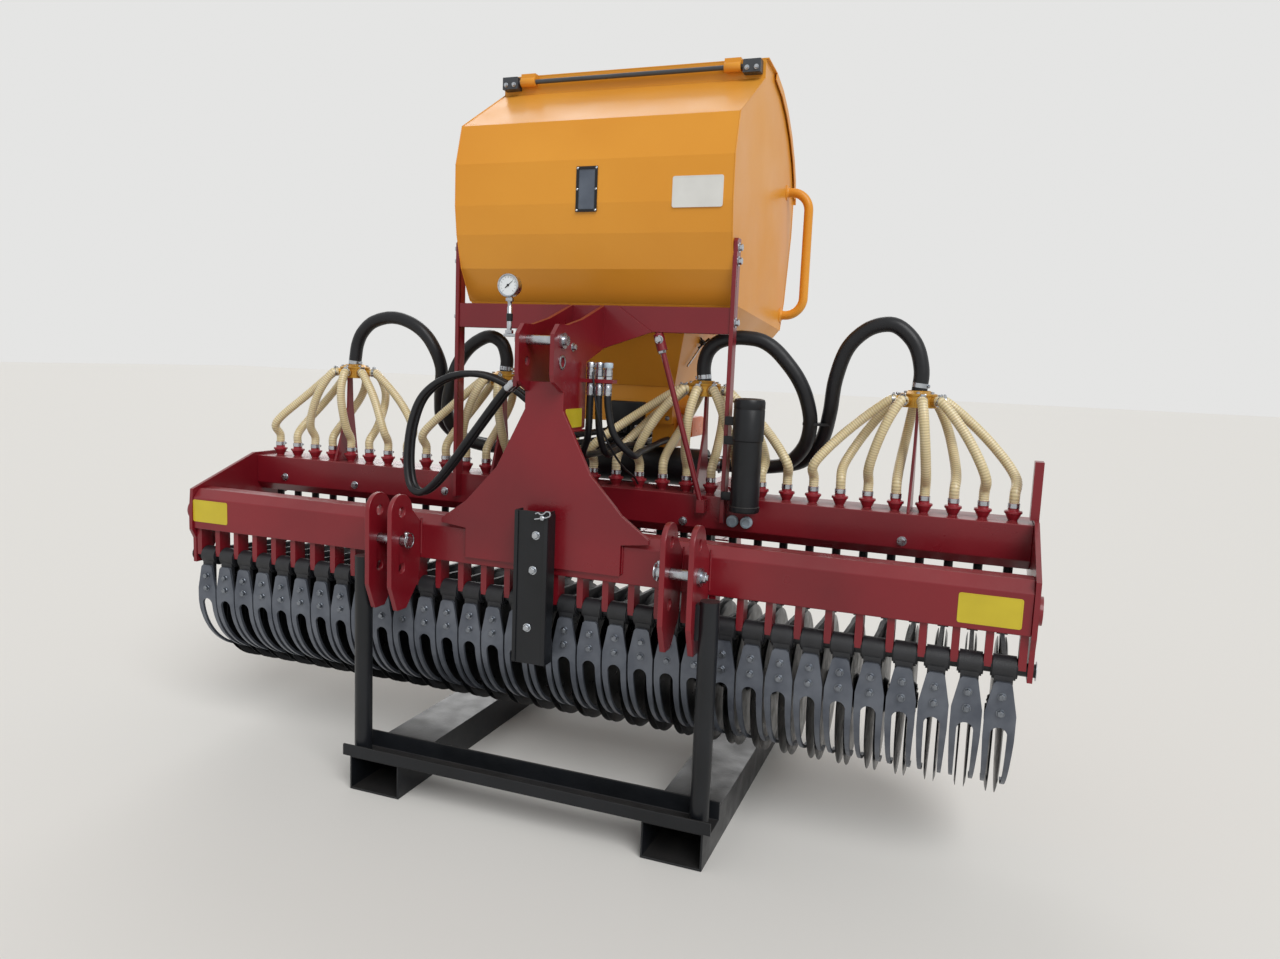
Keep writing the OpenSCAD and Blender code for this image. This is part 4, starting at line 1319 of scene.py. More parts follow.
@dataclass
class AirLines:
    """Large air hoses between the manifold and the heads, their heights counted from the heads' inlets."""

    inlet: float = extent("distributor_heads").top
    port_x: float = extent("air_manifold").right
    port_level: float = -258.7
    clamp_past: float = 13.0
    strapped: tuple[Spot, Spot] = ((640, 390, 1110), (684, 411, 1110))
    strap_radius: float = 23.0
    hose: Hose = field(default_factory=lambda: Hose(21.0, sides=22, step=11))
    routes: tuple[tuple[Spot, ...], ...] = (
        ((-917.5, 350, 0), (-914, 350, 29), (-906, 350, 70), (-884, 350, 111), (-839, 350, 146),
         (-765, 350, 161), (-692, 350, 144), (-637, 353, 107), (-604, 362, 55), (-594, 380, 1),
         (-607, 400, -49), (-630, 432, -111), (-636, 456, -176), (-600, 494, -229), (-520, 530, -255),
         (-420, 544, -258.7), (-340, 544, -258.7)),
        ((-333.5, 350, 0), (-332, 350, 41), (-350, 350, 88), (-392, 350, 109), (-440, 352, 93),
         (-484, 356, 60), (-524, 364, 10), (-552, 376, -47), (-574, 390, -109), (-580, 408, -171),
         (-548, 440, -231), (-480, 466, -255), (-410, 476, -258.7), (-340, 476, -258.7)),
        ((327.5, 350, 0), (324, 350, 41), (332, 350, 79), (350, 350, 103), (372, 350, 117),
         (405, 350, 126), (442, 350, 128), (489, 352, 122), (528, 354, 101), (564, 358, 66),
         (602, 364, 17), (628, 376, -41), (640, 390, -111), (622, 412, -181), (568, 440, -236),
         (490, 464, -255), (410, 476, -258.7), (340, 476, -258.7)),
        ((937.5, 350, 0), (939, 350, 57), (919, 350, 122), (877, 351, 166), (836, 352, 176),
         (784, 355, 158), (735, 361, 106), (706, 374, 18), (692, 402, -78), (668, 440, -159),
         (612, 492, -227), (530, 528, -255), (450, 542, -258.7), (385, 544, -258.7), (340, 544, -258.7)),
    )

    def lifted(self, route: Sequence[Spot]) -> list[Vector]:
        """Control points above the floor."""
        return [Vector((x, y, self.inlet + z)) for x, y, z in route]

    def build(self) -> None:
        """Builds the four hoses, the clamp at each end and the strap round two of them."""
        def fill(mesh: bmesh.types.BMesh) -> None:
            """Adds each hose."""
            for route in self.routes:
                inwards = Vector((-math.copysign(1, route[0][0]), 0, 0))
                self.hose.add_to(mesh, self.lifted(route), Axis.Z.value, inwards)

        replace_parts(settle(mesh_piece(fill), "air_hoses_smooth", RUBBER, angle=60), "air_hoses")
        spots, ways = [], []
        for route in self.routes:
            points = self.hose.smooth(self.lifted(route))
            side = math.copysign(1, route[0][0])
            port = (side * (self.port_x + self.clamp_past), route[-1][1], self.inlet + self.port_level)
            spots += [tuple(points[3]), port]
            ways += [(points[4] - points[2]).normalized(), Vector((side, 0, 0))]
        spread(worm_clamp(20.8, 12, 24), "air_clamps", spots, ways, spin=180)
        self.build_strap()

    def build_strap(self) -> None:
        """Builds the strap that ties the two right hoses together."""
        a, b = (Vector(p) for p in self.strapped)
        along = (b - a).normalized()
        strap = lathe([(self.strap_radius, -4), (self.strap_radius, 4)], 24)
        for end in (Axis.Z, Axis.DOWN):
            stepped_face(strap, end.value, [(1.2, 0), (0.6, -0.6)])
        turn = Matrix.Rotation(math.atan2(along.y, along.x), 4, "Z")
        longer = Matrix.Diagonal((1 + (b - a).length / (2 * self.strap_radius), 1, 1, 1))
        strap.matrix_world = Matrix.Translation(place(*((a + b) / 2))) @ turn @ longer
        settle(strap, "hose_strap", RUBBER)


@dataclass
class OilLines:
    """Hydraulic hoses: a pair that loops from the mast to the motor, and three down from the right tab."""

    fan_x: float = extent("fan_rotor").middle[0]
    level: float = 1017.0
    tab: float = 1205.7
    plugs: tuple[float, ...] = (80, 106, 132)
    plug_y: float = 80.0
    plug_foot: float = 1216.3
    plug_height: float = 31.4
    second_behind: float = 24.0
    parked_x: tuple[float, float] = (462, 503)
    parked_y: float = extent("coupling_caps").rear
    parked_z: float = 829.0
    cable: tuple[Spot, ...] = ((96, 58, 1236), (100, 52, 1214), (110, 52, 1150), (124, 62, 1086),
                               (146, 96, 1018), (160, 150, 968), (168, 214, 936), (170, 245, 912))
    hose: Hose = field(default_factory=lambda: Hose(10.0, sides=14, step=7))

    def loops(self) -> list[list[Vector]]:
        """Finds the ways of the two looped hoses; the second runs behind the first, then above it.

        Returns:
            Control points of each.
        """
        loop = [Vector(p) for p in (
            (-110, -8, 1200), (-152, -4, 1164), (-250, 12, 1050), (-332, 22, 951), (-400, 30, 880),
            (-448, 36, 856), (-486, 46, 880), (-504, 58, 960), (-500, 72, 1060), (-472, 92, 1145),
            (-404, 120, 1200), (-318, 150, 1212), (-230, 178, 1180), (-150, 198, 1120), (-82, 210, 1058),
            (-44, 238, 1022), (self.fan_x, 290, self.level), (self.fan_x, 460, self.level),
            (self.fan_x, 630, self.level))]
        over = [(0, 22, 6), (0, 20, 14), (0, 14, 22)] + [(0, 0, 26)] * 3
        behind = [(0, self.second_behind, 0)] * (len(loop) - len(over))
        return [loop, [p + Vector(step) for p, step in zip(loop, behind + over)]]

    def drops(self) -> list[tuple[list[Vector], Vector]]:
        """Finds the ways of the three hoses under the tab.

        Returns:
            Control points of each, and its direction at the end.
        """
        upper, lower, short = ((x, self.plug_y, self.tab) for x in self.plugs)
        routes = (
            ((upper, (79, 81, 1140), (70, 96, 1058), (37.5, 142, 1000), (37.5, 210, 994), (37.5, 290, 996),
              (37.5, 380, 1008), (37.5, 460, 1019), (24, 590, 1034), (4, 644, 1050), (-12.2, 650, 1053)),
             Axis.LEFT),
            ((lower, (106, 80, 1140), (108, 92, 1062), (112.5, 134, 1006), (112.5, 210, 1010),
              (112.5, 290, 1017), (112.5, 460, 1017), (96, 590, 1021), (50, 648, 1027),
              (-12.2, 650, 1029)), Axis.LEFT),
            ((short, (134, 82, 1140), (150, 96, 1062), (187.5, 142, 1006), (187.5, 210, 1010),
              (187.5, 290, 1017), (187.5, 390, 1027), (187.5, 448.7, 1030)), Axis.Y),
        )
        return [([Vector(p) for p in points], way.value) for points, way in routes]

    def build(self) -> None:
        """Builds the five hoses, their crimped ends, the plugs above and the cable beside them."""
        def fill(mesh: bmesh.types.BMesh) -> None:
            """Adds each hose."""
            for points in self.loops():
                self.hose.add_to(mesh, points, Axis.LEFT.value, Axis.Y.value)
            for points, last in self.drops():
                self.hose.add_to(mesh, points, Axis.DOWN.value, last)

        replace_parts(settle(mesh_piece(fill), "oil_hoses_smooth", RUBBER, angle=60), "oil_hoses")
        ferrule = lathe([(8.4, -2), (10.9, 0), (10.9, 6), (11.5, 7), (11.5, 20), (11.1, 22), (11.5, 24),
                         (11.5, 31), (10.4, 33)], 20)
        spots = [(x, self.plug_y, self.tab - 2) for x in self.plugs]
        ways = [Axis.DOWN.value] * len(spots)
        for points in self.loops():
            spots.append(tuple(points[0] + Vector((-1, 0, -0.6))))
            ways.append((points[1] - points[0]).normalized())
        spread(ferrule, "hose_ferrules", spots, ways)
        self.build_caps()
        settle(cords(Hose(3.2, 8, 6), [self.cable]), "sensor_cable", RUBBER, angle=60)

    def build_caps(self) -> None:
        """Builds the plugs on the tab and the two parked caps on the rear beam, in place of the solids."""
        plug = joined([
            lathe([(11.2, 0), (11.2, 7), (9.4, 8)], 6),
            lathe([(9.6, 8), (11.6, 9), (11.6, 26), (9.8, 27.2), (9.8, 31), (11.9, 32), (11.9, 43),
                   (10.4, 45.7), (6, 45.7)], 22),
        ])
        feet = [(x, self.plug_y, self.plug_foot) for x in self.plugs]
        plugs = spread(plug, "coupling_plugs", feet, Axis.Z.value)
        cap = lathe([(16.2, 0), (17, 0.8), (17, 11.5), (15.6, 14.6), (12.2, 15.7), (10.6, 15.7), (9.8, 13.2),
                     (5, 12.8)], 30)
        parked = [(x, self.parked_y, self.parked_z) for x in self.parked_x]
        caps = spread(cap, "parked_caps", parked, Axis.FRONT.value, CAP_PLASTIC)
        for piece in (plugs, caps):
            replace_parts(piece, "coupling_caps")
        top = lathe([(12.3, 0), (12.8, 1), (12.8, 12), (11.4, 14), (8, 14.6)], 22)
        last = (self.plugs[-1], self.plug_y, self.plug_foot + self.plug_height)
        spread(top, "plug_cap", [last], Axis.Z.value, CAP_PLASTIC)


def arc(centre: Spot, radius: float, across: Vector, up: Vector, start: float, stop: float,
        steps: int) -> list[Spot]:
    """Finds the points of an arc.

    Args:
        centre: Its centre.
        radius: Its radius.
        across: Direction at the angle 0.
        up: Direction at 90 degrees.
        start: Angle of the first point, in degrees.
        stop: Angle of the last point.
        steps: Stretches between them.

    Returns:
        The points.
    """
    angles = [math.radians(start + (stop - start) * k / steps) for k in range(steps + 1)]
    return [tuple(Vector(centre) + radius * (math.cos(a) * across + math.sin(a) * up)) for a in angles]


def weld(routes: Sequence[Sequence[Spot]], name: str, finish: Finish, radius: float = 3.4) -> Obj:
    """Weld beads along routes: half-buried cords with the ripple of a hand-run seam.

    Args:
        routes: Points of each bead, in millimetres from the fork bolts.
        name: Name of the piece.
        finish: Finish of what is welded.
        radius: Radius of a bead in millimetres.

    Returns:
        The beads as one piece.
    """
    return settle(cords(Hose(radius, 8, 3.4, 0.8), routes), name, finish, angle=60)


def film(width: float, height: float, corner: float = 6.0) -> Obj:
    """Blank film with rounded corners and a fine edge, facing Z.

    Args:
        width: Its width in millimetres.
        height: Its height.
        corner: Radius of its corners.

    Returns:
        The film.
    """
    made = cube((width, height, 0.8))
    pick_edges(made, lambda a, b: abs(a.z - b.z) > 0.5)
    bpy.ops.mesh.bevel(offset=corner * MM, segments=4, affect="EDGES")
    closed()
    return stepped_face(made, Axis.Z.value, [(0.15, 0.3), (3.0, 0), (0.1, -0.3)])


def rim_frame(width: float, height: float, rim: float, thickness: float) -> Obj:
    """Flat frame with an open middle, facing Z.

    Args:
        width: Its outer width in millimetres.
        height: Its outer height.
        rim: Width of the rim.
        thickness: Thickness of the rim.

    Returns:
        The frame.
    """
    bpy.ops.object.select_all(action="DESELECT")
    bpy.ops.mesh.primitive_plane_add(size=MM, location=(0, 0, 0))
    made = bpy.context.object
    made.scale = (width, height, 1)
    placed(made)
    bpy.ops.object.mode_set(mode="EDIT")
    bpy.ops.mesh.select_all(action="SELECT")
    bpy.ops.mesh.inset(thickness=rim * MM, depth=0)
    bpy.ops.mesh.delete(type="FACE")
    closed()
    return broken(walled(made, thickness), min(1.4, thickness * 0.4))


def linch_pin() -> Obj:
    """Cross pin along Z with its sprung ring, which lies round the end of the pin that it holds.

    Returns:
        The linch pin.
    """
    body = lathe([(2.4, -23), (4.2, -20), (4.2, 18), (6.8, 19), (6.8, 27), (5.4, 28.5)], 14)
    loop = arc((5.4, 0, 2), 21, Axis.Z.value, Axis.Y.value, 8, 352, 26)
    spring = shifted(cords(Hose(1.9, 8, 3.5), [loop]), (0, MID_Y / MM, 0))
    return joined([body, spring])


@dataclass
class HitchFittings:
    """What holds the pins of the hitch, the seams round its plates, and the films beside it."""

    pin_y: float = -125.0
    pin_z: float = 745.0
    inner: float = 371.5
    outer: float = 486.8
    top_pin: Spot = (-72, -60, 1315)
    leans: tuple[Spot, ...] = ((0.0, -0.35, 0.94), (0.0, 0.3, 0.95), (0.0, -0.2, 0.98))
    ear_face: float = 57.0
    top_hole: tuple[float, float] = (-60, 1259)
    plate_seams: tuple[float, ...] = (388.5, 407.5, 462.5, 481.5)
    plate_heights: tuple[float, ...] = (692, 745, 798)
    mast_foot: float = 238.0
    mast_heights: tuple[float, ...] = (706, 745, 782)
    ear_seam: tuple[float, ...] = (-28, 20, 92)
    seam_rise: float = 2.0
    face_y: float = extent("front_beam").front
    ear_foot: float = extent("mast_ears").foot
    film_rise: float = 0.4

    def build(self) -> None:
        """Builds linch pins, nuts, hole liners, seams and films."""
        spots = [(side * self.inner, self.pin_y, self.pin_z) for side in SIDES] + [self.top_pin]
        spread(linch_pin(), "linch_pins", spots, [Vector(lean) for lean in self.leans])
        nut = joined([
            lathe([(16.6, 0), (17, 0.6), (17, 2)], 24),
            lathe([(13.4, 2), (14, 2.6), (14, 10), (12.6, 11.6), (8, 11.8)], 6),
            lathe([(8, 11.6), (8, 15.4), (6.8, 16.6)], 16),
        ])
        spread(nut, "pin_nuts", [(side * self.outer, self.pin_y, self.pin_z) for side in SIDES], OUTWARDS)
        liner = lathe([(18.5, 0), (19.5, 0.8), (19.5, 2.2), (18.2, 3), (13.4, 3), (13, 2.6)], 28)
        pick_faces(liner, lambda middle, normal: abs(normal.z) > FACING and middle.xy.length < 1)
        bpy.ops.mesh.delete(type="FACE")
        closed()
        holes = [(side * self.ear_face, *self.top_hole) for side in SIDES[::-1]]
        spread(liner, "hole_liners", holes, OUTWARDS[::-1])
        self.build_seams()
        self.build_films()

    def build_seams(self) -> None:
        """Builds the weld seams of the hitch plates, the mast's foot and its ears."""
        y = self.face_y - 1
        seams = []
        for side in SIDES:
            for x in self.plate_seams:
                seams.append([(side * x, y, z) for z in self.plate_heights])
            seams.append([(side * self.mast_foot, y, z) for z in self.mast_heights])
            ear_x, ear_z = side * (self.ear_face + self.seam_rise), self.ear_foot + self.seam_rise
            seams.append([(ear_x, back, ear_z) for back in self.ear_seam])
        weld(seams, "hitch_seams", RED_COAT)

    def build_films(self) -> None:
        """Builds the blank films on the beam and the mast."""
        front, ear = self.face_y - self.film_rise, self.ear_face + self.film_rise
        films = (
            ("yellow_film_0", film(140, 71), (-1180, front, 737), Axis.FRONT),
            ("yellow_film_1", film(142, 72), (1157, front, 728), Axis.FRONT),
            ("yellow_film_mast", film(104, 52, 4), (ear, 24, 1108), Axis.X),
        )
        for name, piece, spot, way in films:
            spread(piece, name, [spot], way.value, YELLOW_FILM)


@dataclass
class Fasteners:
    """Bolts that show on the forks, beams, posts and end bosses, and on the parking stand."""

    fork_y: float = extent("coulter_forks").front
    fork_heights: tuple[float, float] = (527, 487)
    beam_y: float = extent("rear_beam").front
    beam_bolts: tuple[tuple[float, float], ...] = ((-491, 832), (313, 814), (929, 820), (-1130, 826),
                                                   (-840, 822))
    posts: Extent = extent("hopper_posts")
    post_heights: tuple[float, ...] = (1553, 1590, 1386)
    stand: Extent = extent("parking_stand")
    stand_bolts: tuple[tuple[float, float], ...] = ((14, 797), (7, 701), (-6, 541))
    flange_x: float = 44.3
    flange_rise: float = 1.9
    flange_size: Spot = (11, 4, 420)
    boss: Spot = (1260, -4, 735)
    arm_tube: Extent = extent("arm_tube")
    clip_x: float = 37.0
    clip_z: float = 848.0
    clip_wire: tuple[Spot, ...] = ((-23, 0, -5), (2, 0, 0), (14, 0, 3), (22, 0, 8), (20, 0, 17), (11, 0, 18),
                                   (3, 0, 11), (-6, 0, 9), (-13, 0, 13), (-21, 0, 10))
    clip_reach: float = 10.0

    def pair(self, spot: Spot) -> list[Spot]:
        """The place at the left and the one at the right, in the order of OUTWARDS."""
        return [(side * spot[0], spot[1], spot[2]) for side in SIDES]

    def build(self) -> None:
        """Builds each group of bolts."""
        front = Axis.FRONT.value
        forks = [(x, self.fork_y, z) for x in ROWS.all() for z in self.fork_heights]
        spread(HexBolt(14, 7.5, 10.5).build(), "fork_bolts", forks, front, OILED_STEEL)
        beam = [(x, self.beam_y, z) for x, z in self.beam_bolts]
        spread(HexBolt(17, 9, 13).build(), "beam_bolts", beam, front)
        post_x, post_y = self.posts.right, self.posts.middle[1]
        posts = [(side * post_x, post_y, z) for side in SIDES for z in self.post_heights]
        ways = [way for way in OUTWARDS for _ in self.post_heights]
        spread(HexBolt(17, 9, 14).build(), "post_bolts", posts, ways)
        stand = [(x, self.stand.front, z) for x, z in self.stand_bolts]
        spread(HexBolt(16, 8, 12).build(), "stand_bolts", stand, front, body=Body.STAND)
        strip = broken(cube(self.flange_size), 1.4)
        flanges = self.pair((self.flange_x, self.stand.front - self.flange_rise, self.stand.middle[2]))
        spread(strip, "stand_flanges", flanges, Axis.Z.value, BLACK_ENAMEL, Body.STAND)
        stub = lathe([(8.2, 0), (8.2, 8.8), (6.6, 9.8)], 20)
        spread(stub, "boss_bolts", self.pair(self.boss), OUTWARDS)
        washer = lathe([(23, 0), (23, 1.2), (22, 1.7), (8, 1.7)], 30)
        spread(washer, "tube_washers", self.pair((self.arm_tube.right, *self.arm_tube.middle[1:])), OUTWARDS)
        self.build_clip()

    def build_clip(self) -> None:
        """Builds the pin at the top of the parking stand and its spring clip."""
        pin = lathe([(5, -6), (5, 9), (6.4, 10), (6.4, 14), (5, 15)], 14)
        pin = shifted(pin, direction=Axis.FRONT.value)
        clip = shifted(cords(Hose(2.1, 8, 2.5), [self.clip_wire]), (0, MID_Y / MM - self.clip_reach, 0))
        made = joined([pin, clip])
        made.location = place(self.clip_x, self.stand.front, self.clip_z)
        settle(made, "stand_clip", ZINC, Body.STAND)


@dataclass
class Gauge:
    """Pressure gauge on its stem at the left of the mast, its parts measured from the dial's middle."""

    middle: Spot = (-130, -8, 1460)
    case_back: float = 14.0
    tick_count: int = 13
    tick_step: float = 22.5
    first_tick: float = 135.0
    tick_circle: float = 21.6
    pointing: float = -50.0

    def build(self) -> None:
        """Builds case, dial, needle and stem in place of the solid."""
        case = lathe([(24, 0), (29.4, 1.6), (29.4, 19), (31.4, 20.4), (32, 22), (32, 27.6), (30.4, 30),
                      (27.8, 30), (26.8, 27), (26.8, 25)], 44)
        case = shifted(case, (0, self.case_back, 0), Axis.FRONT.value)
        stem = lathe([(7, -130), (7, -58), (5.6, -56), (5.6, -46), (7, -44), (7, -31)], 18)
        nuts = [lathe([(10.6, z), (11.4, z + 0.8), (11.4, z + 8.4), (10.6, z + 9.2)], 6) for z in (-129, -42)]
        foot = broken(cube((84.7, 24, 8), (30.35, 0, -134)), 1.4)
        made = joined([case, stem, *nuts, foot])
        made.location = place(*self.middle)
        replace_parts(settle(made, "gauge_case", ZINC), "pressure_gauge")
        band = lathe([(7.4, -96), (8.8, -95), (8.8, -76), (7.4, -75)], 18)
        band.location = place(*self.middle)
        settle(band, "gauge_band", RUBBER)
        self.build_dial()

    def build_dial(self) -> None:
        """Builds the plain dial with its ticks and needle."""
        x, y, z = self.middle
        spot, front = (x, y + self.case_back, z), Axis.FRONT.value
        dial = lathe([(26.6, 25.2), (26.6, 26.2), (22, 26.4)], 40)
        spread(dial, "gauge_dial", [spot], front, DIAL_WHITE)
        marks = []
        for k in range(self.tick_count):
            length = 4.4 if k % 3 == 0 else 2.6
            tick = broken(cube((0.9, length, 0.5), (0, self.tick_circle, 26.6)), 0.15, 1)
            marks.append(copy_to(tick, place(*spot), front, self.first_tick - self.tick_step * k))
            discard(tick)
        needle = resized_end(cube((2.6, 30, 0.8), (0, 4, 27.6)), Axis.Y.value, (0.25, 1, 1))
        hub = lathe([(3.4, 26.8), (3.4, 28.4), (2.2, 29)], 16)
        marks += [copy_to(needle, place(*spot), front, self.pointing), copy_to(hub, place(*spot), front)]
        discard(needle, hub)
        settle(joined(marks), "gauge_marks", RUBBER)


@dataclass
class HopperTrim:
    """Fittings on the hopper, its lid and its funnel."""

    hopper: Extent = extent("hopper_body")
    film_x: float = 329.5
    film_z: float = 1734.0
    film_rise: float = 0.4
    window: Extent = extent("sight_window")
    frame_rise: float = 0.2
    frame_wall: float = 2.5
    screw_x: float = 29.0
    screw_z: float = 58.0
    handle: Extent = extent("grab_handle")
    handle_radius: float = 15.0
    hinge_x: float = 395.0
    hinge_bolt: float = 14.0
    hinge_front: float = extent("lid_hinge").front
    hinge_z: float = 2129.0
    wing_at: Spot = (266, 515, 1336)
    wing_way: Spot = (0.78, -0.55, -0.3)
    rod: tuple[Spot, ...] = ((266, 512, 1330), (257, 494, 1306), (249, 474, 1284), (240, 452, 1260))
    grip_foot: Spot = (110, 944, 1936)
    grip_bend: tuple[Spot, ...] = ((110, 962, 1948), (104, 972, 1954), (92, 976, 1956))
    front_fold: tuple[tuple[float, float], ...] = (
        (285, 1436), (228, 1530), (201, 1627), (190, 1710), (190, 1830), (222, 1948), (478, 2105))
    rear_fold: tuple[tuple[float, float], ...] = ((872, 1394), (914, 1490), (970, 1720), (975, 1850))

    def build(self) -> None:
        """Builds the film, the window's frame, the weld collars, the hinge's bolts and the wing screw."""
        front, front_y = Axis.FRONT.value, self.hopper.front
        spot = (self.film_x, front_y - self.film_rise, self.film_z)
        spread(film(145, 84), "white_film", [spot], front, WHITE_FILM)
        window_z, frame_y = self.window.middle[2], front_y - self.frame_rise
        spread(rim_frame(66, 126, 8, 2.6), "window_frame", [(0, frame_y, window_z)], front, RUBBER)
        screws = [(side * self.screw_x, frame_y - self.frame_wall, window_z + up)
                  for side in SIDES for up in (-self.screw_z, 0, self.screw_z)]
        head = lathe([(3.2, 0), (3.2, 0.6), (2.2, 1.6), (0.8, 1.9)], 12)
        spread(head, "window_screws", screws, front)
        collar = lathe([(25, 0), (25, 2.2), (23.4, 3), (18, 4), (15.6, 8)], 26)
        ends = [(self.hopper.right, self.handle.middle[1], z)
                for z in (self.handle.foot + self.handle_radius, self.handle.top - self.handle_radius)]
        spread(collar, "handle_collars", ends, Axis.X.value, MELON_ENAMEL)
        hinge = [(side * (self.hinge_x + aside), self.hinge_front, self.hinge_z)
                 for side in SIDES for aside in (-self.hinge_bolt, self.hinge_bolt)]
        spread(HexBolt(10, 5, 7.4).build(), "hinge_bolts", hinge, front)
        self.build_wing_screw()
        self.build_grip()
        self.build_seams()

    def build_wing_screw(self) -> None:
        """Builds the wing screw on the funnel's right wall, with the thin rod below it."""
        hub = lathe([(9, -4), (9, 2), (6.5, 3), (6.5, 11), (5, 13)], 18)
        wing = resized_end(cube((20, 4, 6), (14, 0, 8)), Axis.X.value, (1, 0.6, 1.7))
        wing = broken(wing, 1.2)
        wings = [copy_to(wing, Vector(), Axis.Z.value, turn) for turn in (45, 135, 225, 315)]
        discard(wing)
        way = Vector(self.wing_way).normalized()
        spread(joined([hub, *wings]), "wing_screw", [self.wing_at], way, CAST_BLACK)
        settle(cords(Hose(3, 8, 5), [self.rod]), "funnel_rod", ZINC, angle=60)

    def build_grip(self) -> None:
        """Builds the grip at the lid's rear edge and its feet."""
        right = [self.grip_foot, *self.grip_bend]
        left = [(-x, y, z) for x, y, z in right]
        middle = (0, *self.grip_bend[-1][1:])
        settle(cords(Hose(7, 14, 5), [left + [middle] + right[::-1]]), "lid_grip", BLACK_POLY, Body.LID, 60)
        foot = lathe([(19, 0), (19, 2), (17.6, 2.8), (11, 4), (7.6, 8)], 24)
        spread(foot, "lid_grip_feet", [left[0], right[0]], Vector((0, 0.84, 0.54)), MELON_ENAMEL, Body.LID)

    def build_seams(self) -> None:
        """Builds the seams along the folds of the hopper's side sheets."""
        seams = []
        for side in SIDES:
            for fold in (self.front_fold, self.rear_fold):
                for (ya, za), (yb, zb) in zip(fold, fold[1:]):
                    seams.append([(side * self.hopper.right, ya + (yb - ya) * t, za + (zb - za) * t)
                                  for t in (0, 0.5, 1)])
        weld(seams, "hopper_seams", MELON_ENAMEL, 2.0)


@dataclass
class MeterTrim:
    """Covers and control box on the metering unit, and the fan's guard."""

    housing: Extent = extent("metering_housing")
    cover_rise: float = 0.3
    cover_y: float = 536.0
    cover_z: float = 1071.0
    box_at: Spot = (65, 415.2, 1109)
    plug_y: float = 415.0
    plug_z: float = 1073.0
    drum_z: float = 1140.0
    plugs_x: tuple[float, ...] = (32, 56, 80)
    cover_size: Spot = (52, 124, 62)
    box_size: Spot = (110, 27, 73)
    wall_x: float = 190.0
    wall_heights: tuple[float, ...] = (1098, 1138, 1178)
    rotor: Extent = extent("fan_rotor")
    motor_y: float = extent("fan_motor").front
    motor_circle: float = 28.0
    fan_back: float = extent("fan_housing").rear
    guard_gap: float = 4.0
    guard_rings: tuple[float, ...] = (64, 50, 36, 22)
    spoke: float = 66.0
    spoke_back: float = 3.4

    def build(self) -> None:
        """Builds covers, box and guard."""
        up, front = Axis.Z.value, Axis.FRONT.value
        cover = broken(cube(self.cover_size), 6, 3)
        stepped_face(cover, Axis.X.value, [(5, 0), (1.5, -1.6), (8, 0), (2, 2.4)])
        spot = (self.housing.right + self.cover_rise, self.cover_y, self.cover_z)
        spread(cover, "meter_cover", [spot], up, ORANGE_COVER)
        box = broken(cube(self.box_size), 4, 3)
        stepped_face(box, front, [(4, 0), (1, -1.2), (5, 0), (1, 1.6)])
        spread(box, "control_box", [self.box_at], up, BLACK_POLY)
        plug = lathe([(8, 0), (8, 5), (6.6, 6), (6.6, 18), (5, 20), (5, 26)], 16)
        plugs = [(x, self.plug_y, self.plug_z) for x in self.plugs_x]
        spread(plug, "box_plugs", plugs, Axis.DOWN.value, RUBBER)
        cap = lathe([(30, 0), (30, 2), (27, 4.4), (12, 4.4), (11, 2.8), (7, 2.8), (6.4, 7), (3, 7.6)], 30)
        drum = (self.housing.right, self.housing.middle[1], self.drum_z)
        spread(cap, "drum_cap", [drum], Axis.X.value, BLACK_POLY)
        bolts = [(side * self.wall_x, self.housing.front, z) for side in SIDES for z in self.wall_heights]
        spread(HexBolt(10, 5, 7.4).build(), "meter_bolts", bolts, front)
        fan_x, _, fan_z = self.rotor.middle
        motor = [(fan_x + self.motor_circle * math.cos(a), self.motor_y,
                  fan_z + self.motor_circle * math.sin(a)) for a in around(4, 45)]
        spread(HexBolt(10, 6, 7.4).build(), "motor_bolts", motor, front)
        self.build_guard()

    def build_guard(self) -> None:
        """Builds the wire guard over the fan's inlet."""
        fan_x, _, fan_z = self.rotor.middle
        centre = (fan_x, self.fan_back + self.guard_gap, fan_z)
        wires = [arc(centre, r, Axis.X.value, Axis.Z.value, 2, 358, 36) for r in self.guard_rings]
        hub = Vector(centre) + Vector((0, self.spoke_back, 0))
        for a in around(8)[:4]:
            u = Vector((math.cos(a), 0, math.sin(a)))
            wires.append([tuple(hub + u * r) for r in (-self.spoke, 0, self.spoke)])
        settle(cords(Hose(1.8, 8, 5), wires), "fan_guard", ZINC, angle=60)


